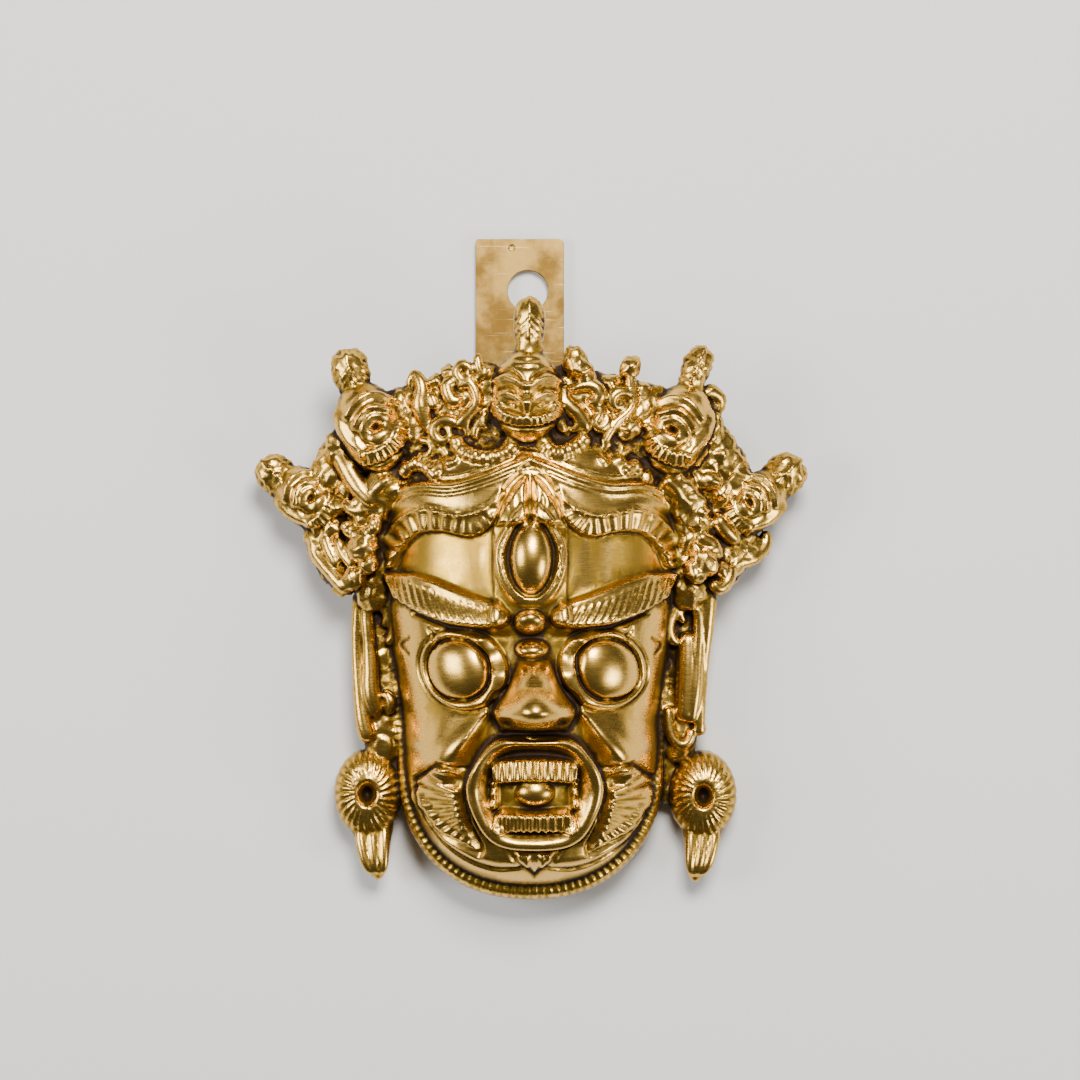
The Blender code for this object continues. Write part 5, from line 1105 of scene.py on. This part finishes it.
def crusty(points):
    """1 on the rough-cast crown and ears, 0 on the smooth face."""
    x, y = points[:, 0] / UNIT, points[:, 1] / UNIT
    crown = ease((depth_inside(np.abs(x), y, CROWN_FIELD) + 1.5) / 2.5)
    beside_face = ease((np.abs(x) - EAR_INNER_X) / 2.0)
    ear = EAR_CRUST * beside_face * ease(-y / EAR_FADE) * ease((y - EAR_LOW_Y) / EAR_FADE)
    return np.maximum(crown, ear)


def on_heads(points):
    """1 on the crown's five smooth heads, 0 beside them."""
    x, y = points[:, 0] / UNIT, points[:, 1] / UNIT
    heads = [(MIDDLE_HEAD, MIDDLE_HEAD_HALF, 0.0, 1.0)]
    for hand, place, tilt, size in SIDE_HEADS:
        heads.append((place, SIDE_HEAD_HALF, -hand * math.radians(tilt), size))
    total = np.zeros(len(points))
    for place, half, lean, size in heads:
        across = (x - place[0]) * math.cos(lean) + (y - place[1]) * math.sin(lean)
        up = (y - place[1]) * math.cos(lean) - (x - place[0]) * math.sin(lean)
        reach = np.hypot(across / half[0], up / half[1]) / size
        total = np.maximum(total, ease((SMOOTH_REACH - reach) / SMOOTH_FADE))
    return total


def roughen(mask, heights):
    """Fine lumps of the casting in the hollows of the crown and ears."""
    points = vertex_rows(mask.data, "co")
    normals = vertex_rows(mask.data, "normal")
    x, y, z = (points / UNIT).T
    lumps = crust(x, y, z, FINE_LUMP) + COARSE_SHARE * crust(y, x, z, COARSE_LUMP)
    below = heights.read(heights.smoothed(HOLLOW_SCALES[1][0]), points) - points[:, 2]
    hollow = HIGH_SHARE + (1 - HIGH_SHARE) * ease((below - HOLLOW_START) / HOLLOW_FADE)
    lumps *= CRUST_DEPTH * crusty(points) * hollow * (1 - on_heads(points))
    points += normals * lumps[:, None]
    mask.data.vertices.foreach_set("co", points.astype(np.float32).ravel())
    mask.data.update()


def make_mask(material):
    """The whole casting: its bodies fused, roughened, thinned and cut flat, with its patina marked."""
    bodies = [face_shell(), corded_edge(), crown_ground(), crown_skirt()] + temple_fill()
    bodies += crown_heads() + crown_ornaments() + ears()
    mask = add_object("cast_mask", *fused(bodies))
    cast = mask.modifiers.new("cast_as_one", "REMESH")
    cast.mode = "VOXEL"
    cast.voxel_size = VOXEL
    soften = mask.modifiers.new("soften", "SMOOTH")
    soften.factor = SMOOTHING
    soften.iterations = SMOOTHING_STEPS
    bake_modifiers(mask)
    keep_largest_body(mask)
    heights = HeightMap(vertex_rows(mask.data, "co"))
    roughen(mask, heights)
    thin = mask.modifiers.new("fewer_faces", "DECIMATE")
    thin.ratio = MASK_TRIANGLES / (2 * len(mask.data.polygons))
    thin.use_collapse_triangulate = True
    bake_modifiers(mask)
    reach = MASK_HEIGHT
    cut_away(mask, box_mesh("below_back", (-reach, -reach, -reach), (reach, reach, 0.0)))
    low, high = strip_low - SHIFT, strip_high - SHIFT
    seat_low = (low.x - FIT_GAP, low.y - FIT_GAP, -WALL)
    cut_away(mask, box_mesh("strip_seat", seat_low, tuple(v + FIT_GAP for v in high)))
    mark_patina(mask, heights)
    mask.data.transform(((1, 0, 0, SHIFT.x), (0, 1, 0, SHIFT.y), (0, 0, 1, 0), (0, 0, 0, 1)))
    mask.data.materials.clear()
    mask.data.materials.append(material)
    shade_smooth(mask)
    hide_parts("mask")
    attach(mask, "root")


# The hanging strip

STRIP_TOP_RIGHT = 0.0014
STRIP_TOP_LEFT = 0.0007
STRIP_EDGE = 0.00025
STRIP_EDGE_ANGLE = 40
# Punch mark: how far from the strip's middle and top, its radius and depth
PUNCH = (-0.0018, 0.0020, 0.0007)
PUNCH_DEPTH = 0.0003
DRILL_OVERRUN = 0.001
DRILL_SIDES = 72


def arc(centre, radius, start, end, steps):
    """Points along an arc, with angles in degrees."""
    for k in range(steps + 1):
        angle = math.radians(start + (end - start) * k / steps)
        yield centre[0] + radius * math.cos(angle), centre[1] + radius * math.sin(angle)


def make_strip(material):
    """Sheet brass cut by hand: three blunt corners and one rounded, drilled off its middle."""
    low, high = strip_low, strip_high
    right, left = STRIP_TOP_RIGHT, STRIP_TOP_LEFT
    outline = [(low.x, low.y), (high.x, low.y)]
    outline += arc((high.x - right, high.y - right), right, 0, 90, 12)
    outline += arc((low.x + left, high.y - left), left, 90, 180, 5)
    work = bmesh.new()
    base = work.faces.new([work.verts.new((x, y, low.z)) for x, y in outline])
    raised = bmesh.ops.extrude_face_region(work, geom=[base])
    lifted = [item for item in raised["geom"] if isinstance(item, bmesh.types.BMVert)]
    bmesh.ops.translate(work, verts=lifted, vec=(0, 0, STRIP_THICKNESS))
    bmesh.ops.recalc_face_normals(work, faces=work.faces)
    strip = from_bmesh("brass_strip", work)
    middle = (low.x + high.x) / 2
    drill(strip, (middle + HOLE_SIDE_SHIFT, high.y - HOLE_FROM_TOP), HOLE_RADIUS, low.z - DRILL_OVERRUN)
    drill(strip, (middle + PUNCH[0], high.y - PUNCH[1]), PUNCH[2], high.z - PUNCH_DEPTH)
    edge = strip.modifiers.new("filed_edges", "BEVEL")
    edge.width = STRIP_EDGE
    edge.segments = 3
    edge.limit_method = "ANGLE"
    edge.angle_limit = math.radians(STRIP_EDGE_ANGLE)
    bake_modifiers(strip)
    strip.data.materials.append(material)
    shade_smooth(strip)
    keep_flats_flat(strip)
    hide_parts("hanging_strip")
    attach(strip, "root")


def drill(target, centre, radius, foot):
    """A round hole through the sheet, or down to foot."""
    work = bmesh.new()
    depth = 3 * STRIP_THICKNESS
    bmesh.ops.create_cone(
        work, cap_ends=True, segments=DRILL_SIDES, radius1=radius, radius2=radius, depth=depth
    )
    bmesh.ops.translate(work, verts=work.verts, vec=(centre[0], centre[1], foot + depth / 2))
    cut_away(target, from_bmesh("drill", work))


def keep_flats_flat(target):
    """Weighted normals keep the large flat faces flat between their rounded edges."""
    flat = target.modifiers.new("flat_faces", "WEIGHTED_NORMAL")
    flat.keep_sharp = True
    bake_modifiers(target)


# Materials


class Nodes:
    """Short calls for building one material's node tree."""

    def __init__(self, name):
        self.material = bpy.data.materials.new(name)
        self.material.use_nodes = True
        self.tree = self.material.node_tree
        self.shader = self.tree.nodes["Principled BSDF"]

    def add(self, kind, **inputs):
        node = self.tree.nodes.new(kind)
        for name, value in inputs.items():
            self.plug(value, node.inputs[name])
        return node

    def plug(self, value, socket):
        if isinstance(value, bpy.types.NodeSocket):
            self.tree.links.new(value, socket)
        else:
            socket.default_value = value

    def maths(self, operation, *values):
        node = self.tree.nodes.new("ShaderNodeMath")
        node.operation = operation
        for k, value in enumerate(values):
            self.plug(value, node.inputs[k])
        return node.outputs[0]

    def fade(self, value, start, end):
        """0 below start, 1 above end and smooth between."""
        node = self.tree.nodes.new("ShaderNodeMapRange")
        node.interpolation_type = "SMOOTHSTEP"
        self.plug(value, node.inputs["Value"])
        node.inputs["From Min"].default_value = start
        node.inputs["From Max"].default_value = end
        return node.outputs["Result"]

    def mix(self, kind, values, sockets, output):
        node = self.tree.nodes.new("ShaderNodeMix")
        node.data_type = kind
        for value, socket in zip(values, sockets):
            self.plug(value, node.inputs[socket])
        return node.outputs[output]

    def blend(self, share, first, second):
        """One colour turning into another."""
        return self.mix("RGBA", (share, first, second), (0, 6, 7), 2)

    def level(self, share, first, second):
        """One number turning into another."""
        return self.mix("FLOAT", (share, first, second), (0, 2, 3), 0)

    def place(self):
        return self.add("ShaderNodeTexCoord").outputs["Object"]

    def noise(self, place, scale, detail, roughness=0.55):
        inputs = {"Vector": place, "Scale": scale, "Detail": detail, "Roughness": roughness}
        return self.add("ShaderNodeTexNoise", **inputs).outputs["Fac"]

    def stretched(self, place, scale, turn):
        inputs = {"Vector": place, "Scale": scale, "Rotation": (0.0, 0.0, turn)}
        return self.add("ShaderNodeMapping", **inputs).outputs["Vector"]

    def attribute(self, name):
        node = self.tree.nodes.new("ShaderNodeAttribute")
        node.attribute_name = name
        return node.outputs["Fac"]

    def bump(self, height, distance, strength, below=None):
        node = self.add("ShaderNodeBump", Height=height, Distance=distance, Strength=strength)
        if below is not None:
            self.plug(below, node.inputs["Normal"])
        return node.outputs["Normal"]

    def finish(self, colour, metallic, roughness, normal):
        named = (("Base Color", colour), ("Metallic", metallic), ("Roughness", roughness), ("Normal", normal))
        for name, value in named:
            self.plug(value, self.shader.inputs[name])
        return self.material


POLISHED = (0.73, 0.44, 0.09, 1.0)
GOLDEN = (0.52, 0.30, 0.032, 1.0)
OCHRE = (0.25, 0.155, 0.018, 1.0)
BROWN = (0.09, 0.052, 0.010, 1.0)
DARK = (0.030, 0.014, 0.005, 1.0)
RAW = (0.25, 0.15, 0.05, 1.0)
STRIP_BRIGHT = (0.40, 0.25, 0.065, 1.0)
STRIP_DULL = (0.20, 0.11, 0.022, 1.0)
STRIP_SCRATCHED = (0.66, 0.46, 0.18, 1.0)
FLOOR_COLOUR = (0.78, 0.77, 0.75, 1.0)

# Depth in the carving at which each layer of patina starts and is full; 0.5 is open metal
GOLDEN_DEPTH = (0.42, 0.54)
OCHRE_DEPTH = (0.55, 0.70)
BROWN_DEPTH = (0.84, 1.04)
DARK_DEPTH = (1.14, 1.26)

# Sizes of the noises, in waves to a metre
SPECKLE_SCALE = 1400.0
SPECKS_SCALE = 1100.0
PITS_SCALE = 1000.0
PATCHES_SCALE = 220.0
STAINS_SCALE = 120.0
BRUSH_SCALES = (240.0, 3200.0, 900.0)
GRAIN_SCALES = (300.0, 4000.0, 1000.0)
SCRATCH_SCALES = (60.0, 2600.0, 60.0)

# Heights of the fine relief, in metres
PIT_HEIGHT = 0.00030
BRUSH_HEIGHT = 0.00002
SCRATCH_HEIGHT = 0.00003

# Roughness of each finish
POLISHED_ROUGHNESS = 0.27
GOLDEN_ROUGHNESS = 0.34
OCHRE_ROUGHNESS = 0.42
RAW_ROUGHNESS = 0.55
DARK_ROUGHNESS = 0.6
STRIP_ROUGHNESS = 0.34
STRIP_DULL_ROUGHNESS = 0.5
FLOOR_ROUGHNESS = 0.85


def cast_brass():
    """Polished high spots, golden slopes, ochre hollows and black-brown cuts."""
    nodes = Nodes("cast_brass")
    place = nodes.place()
    speckle = nodes.noise(place, SPECKLE_SCALE, 4.0, 0.65)
    patches = nodes.noise(place, PATCHES_SCALE, 3.0)
    rough = nodes.attribute("rough")
    raw = nodes.attribute("raw")
    uneven = nodes.level(rough, 0.12, 0.55)
    mottle = nodes.maths("MULTIPLY", nodes.maths("SUBTRACT", speckle, 0.5), uneven)
    depth = nodes.maths("ADD", nodes.attribute("recess"), mottle)
    depth = nodes.maths("MULTIPLY_ADD", nodes.maths("SUBTRACT", patches, 0.5), 0.14, depth)
    golden = nodes.fade(depth, *GOLDEN_DEPTH)
    ochre = nodes.fade(depth, *OCHRE_DEPTH)
    specks = nodes.noise(place, SPECKS_SCALE, 5.0, 0.7)
    deeper = nodes.maths("MULTIPLY_ADD", rough, 0.14, depth)
    dark = nodes.fade(nodes.maths("MULTIPLY_ADD", specks, 0.60, deeper), *DARK_DEPTH)
    brown = nodes.fade(nodes.maths("MULTIPLY_ADD", specks, 0.35, deeper), *BROWN_DEPTH)
    colour = nodes.blend(golden, POLISHED, GOLDEN)
    colour = nodes.blend(ochre, colour, OCHRE)
    colour = nodes.blend(brown, colour, BROWN)
    colour = nodes.blend(dark, colour, DARK)
    colour = nodes.blend(raw, colour, nodes.blend(patches, RAW, OCHRE))
    metallic = nodes.level(ochre, 1.0, 0.9)
    metallic = nodes.level(dark, metallic, 0.7)
    roughness = nodes.level(golden, POLISHED_ROUGHNESS, GOLDEN_ROUGHNESS)
    roughness = nodes.level(ochre, roughness, OCHRE_ROUGHNESS)
    roughness = nodes.level(dark, roughness, DARK_ROUGHNESS)
    roughness = nodes.level(raw, roughness, RAW_ROUGHNESS)
    brushed = nodes.noise(nodes.stretched(place, BRUSH_SCALES, 0.6), 1.0, 2.0)
    roughness = nodes.maths("MULTIPLY_ADD", brushed, 0.10, nodes.maths("SUBTRACT", roughness, 0.05))
    grainy = nodes.maths("MULTIPLY", nodes.level(rough, 0.25, 1.0), nodes.level(ochre, 0.15, 1.0))
    pits = nodes.noise(place, PITS_SCALE, 3.0, 0.6)
    rough_cast = nodes.maths("MULTIPLY", pits, nodes.level(grainy, 0.05, 1.0))
    normal = nodes.bump(rough_cast, PIT_HEIGHT, 0.75)
    normal = nodes.bump(brushed, BRUSH_HEIGHT, 0.35, normal)
    return nodes.finish(colour, metallic, roughness, normal)


def sheet_brass():
    """Dull, stained sheet with a fine grain and scratches."""
    nodes = Nodes("strip_brass")
    place = nodes.place()
    stains = nodes.noise(place, STAINS_SCALE, 4.0, 0.6)
    grain = nodes.noise(nodes.stretched(place, GRAIN_SCALES, 0.9), 1.0, 3.0)
    streaks = nodes.noise(nodes.stretched(place, SCRATCH_SCALES, 1.1), 1.0, 2.0)
    scratch = nodes.fade(streaks, 0.66, 0.72)
    dull = nodes.fade(stains, 0.35, 0.65)
    colour = nodes.blend(dull, STRIP_BRIGHT, STRIP_DULL)
    colour = nodes.blend(scratch, colour, STRIP_SCRATCHED)
    roughness = nodes.level(dull, STRIP_ROUGHNESS, STRIP_DULL_ROUGHNESS)
    roughness = nodes.maths("MULTIPLY_ADD", grain, 0.12, roughness)
    normal = nodes.bump(grain, BRUSH_HEIGHT, 0.5)
    normal = nodes.bump(scratch, SCRATCH_HEIGHT, 0.4, normal)
    return nodes.finish(colour, 1.0, roughness, normal)


def floor_material():
    nodes = Nodes("pale_floor")
    nodes.shader.inputs["Base Color"].default_value = FLOOR_COLOUR
    nodes.shader.inputs["Roughness"].default_value = FLOOR_ROUGHNESS
    return nodes.material


# Floor, light and camera

FLOOR_SIZE = 3.0
FLOOR_DROP = 0.0002
WORLD_COLOUR = (0.95, 0.97, 1.0, 1.0)
WORLD_STRENGTH = 0.07
WHITE = (1.0, 1.0, 1.0)
WARM_WHITE = (1.0, 0.97, 0.92)
# Square lamps: name, place and size in metres, watts and colour
LAMPS = (
    ("key", (0.10, 0.40, 0.75), 0.30, 12.0, WARM_WHITE),
    ("fill", (-0.62, 0.05, 0.50), 0.34, 4.5, WHITE),
    ("rim", (0.62, -0.25, 0.40), 0.26, 3.0, WHITE),
)
PHOTO_WIDTH_PX = 1080
STRIP_WIDTH_PX = 88
METRES_PER_PX = STRIP_WIDTH / STRIP_WIDTH_PX
CAMERA_HEIGHT = 0.9
CAMERA_NEAR = 0.01
SENSOR = 36.0
# From the carving's own middle to the middle of the photograph, in metres
CAMERA_ASIDE = (0.002273, 0.006137)


def make_floor():
    half = FLOOR_SIZE / 2
    corners = [(-half, -half, -FLOOR_DROP), (half, -half, -FLOOR_DROP)]
    corners += [(half, half, -FLOOR_DROP), (-half, half, -FLOOR_DROP)]
    floor = add_object("floor", corners, [(0, 1, 2, 3)])
    floor.data.materials.append(floor_material())


def softbox(name, place, size, power, colour):
    """A square lamp that points at the mask."""
    lamp = bpy.data.lights.new(name, "AREA")
    lamp.size = size
    lamp.energy = power
    lamp.color = colour
    stand = linked(name, lamp)
    stand.location = place
    stand.rotation_euler = Vector(place).to_track_quat("Z", "Y").to_euler()


def light_scene():
    world = bpy.data.worlds.new("studio")
    bpy.context.scene.world = world
    world.use_nodes = True
    world.node_tree.nodes["Background"].inputs["Color"].default_value = WORLD_COLOUR
    world.node_tree.nodes["Background"].inputs["Strength"].default_value = WORLD_STRENGTH
    for lamp in LAMPS:
        softbox(*lamp)


def make_camera():
    """Straight above the mask, framed as the photograph is."""
    lens = bpy.data.cameras.new("camera")
    lens.sensor_width = SENSOR
    lens.lens = SENSOR * CAMERA_HEIGHT / (PHOTO_WIDTH_PX * METRES_PER_PX)
    lens.clip_start = CAMERA_NEAR
    camera = linked("camera", lens)
    camera.location = (SHIFT.x + CAMERA_ASIDE[0], SHIFT.y + CAMERA_ASIDE[1], CAMERA_HEIGHT)
    bpy.context.scene.camera = camera


make_mask(cast_brass())
make_strip(sheet_brass())
make_floor()
light_scene()
make_camera()
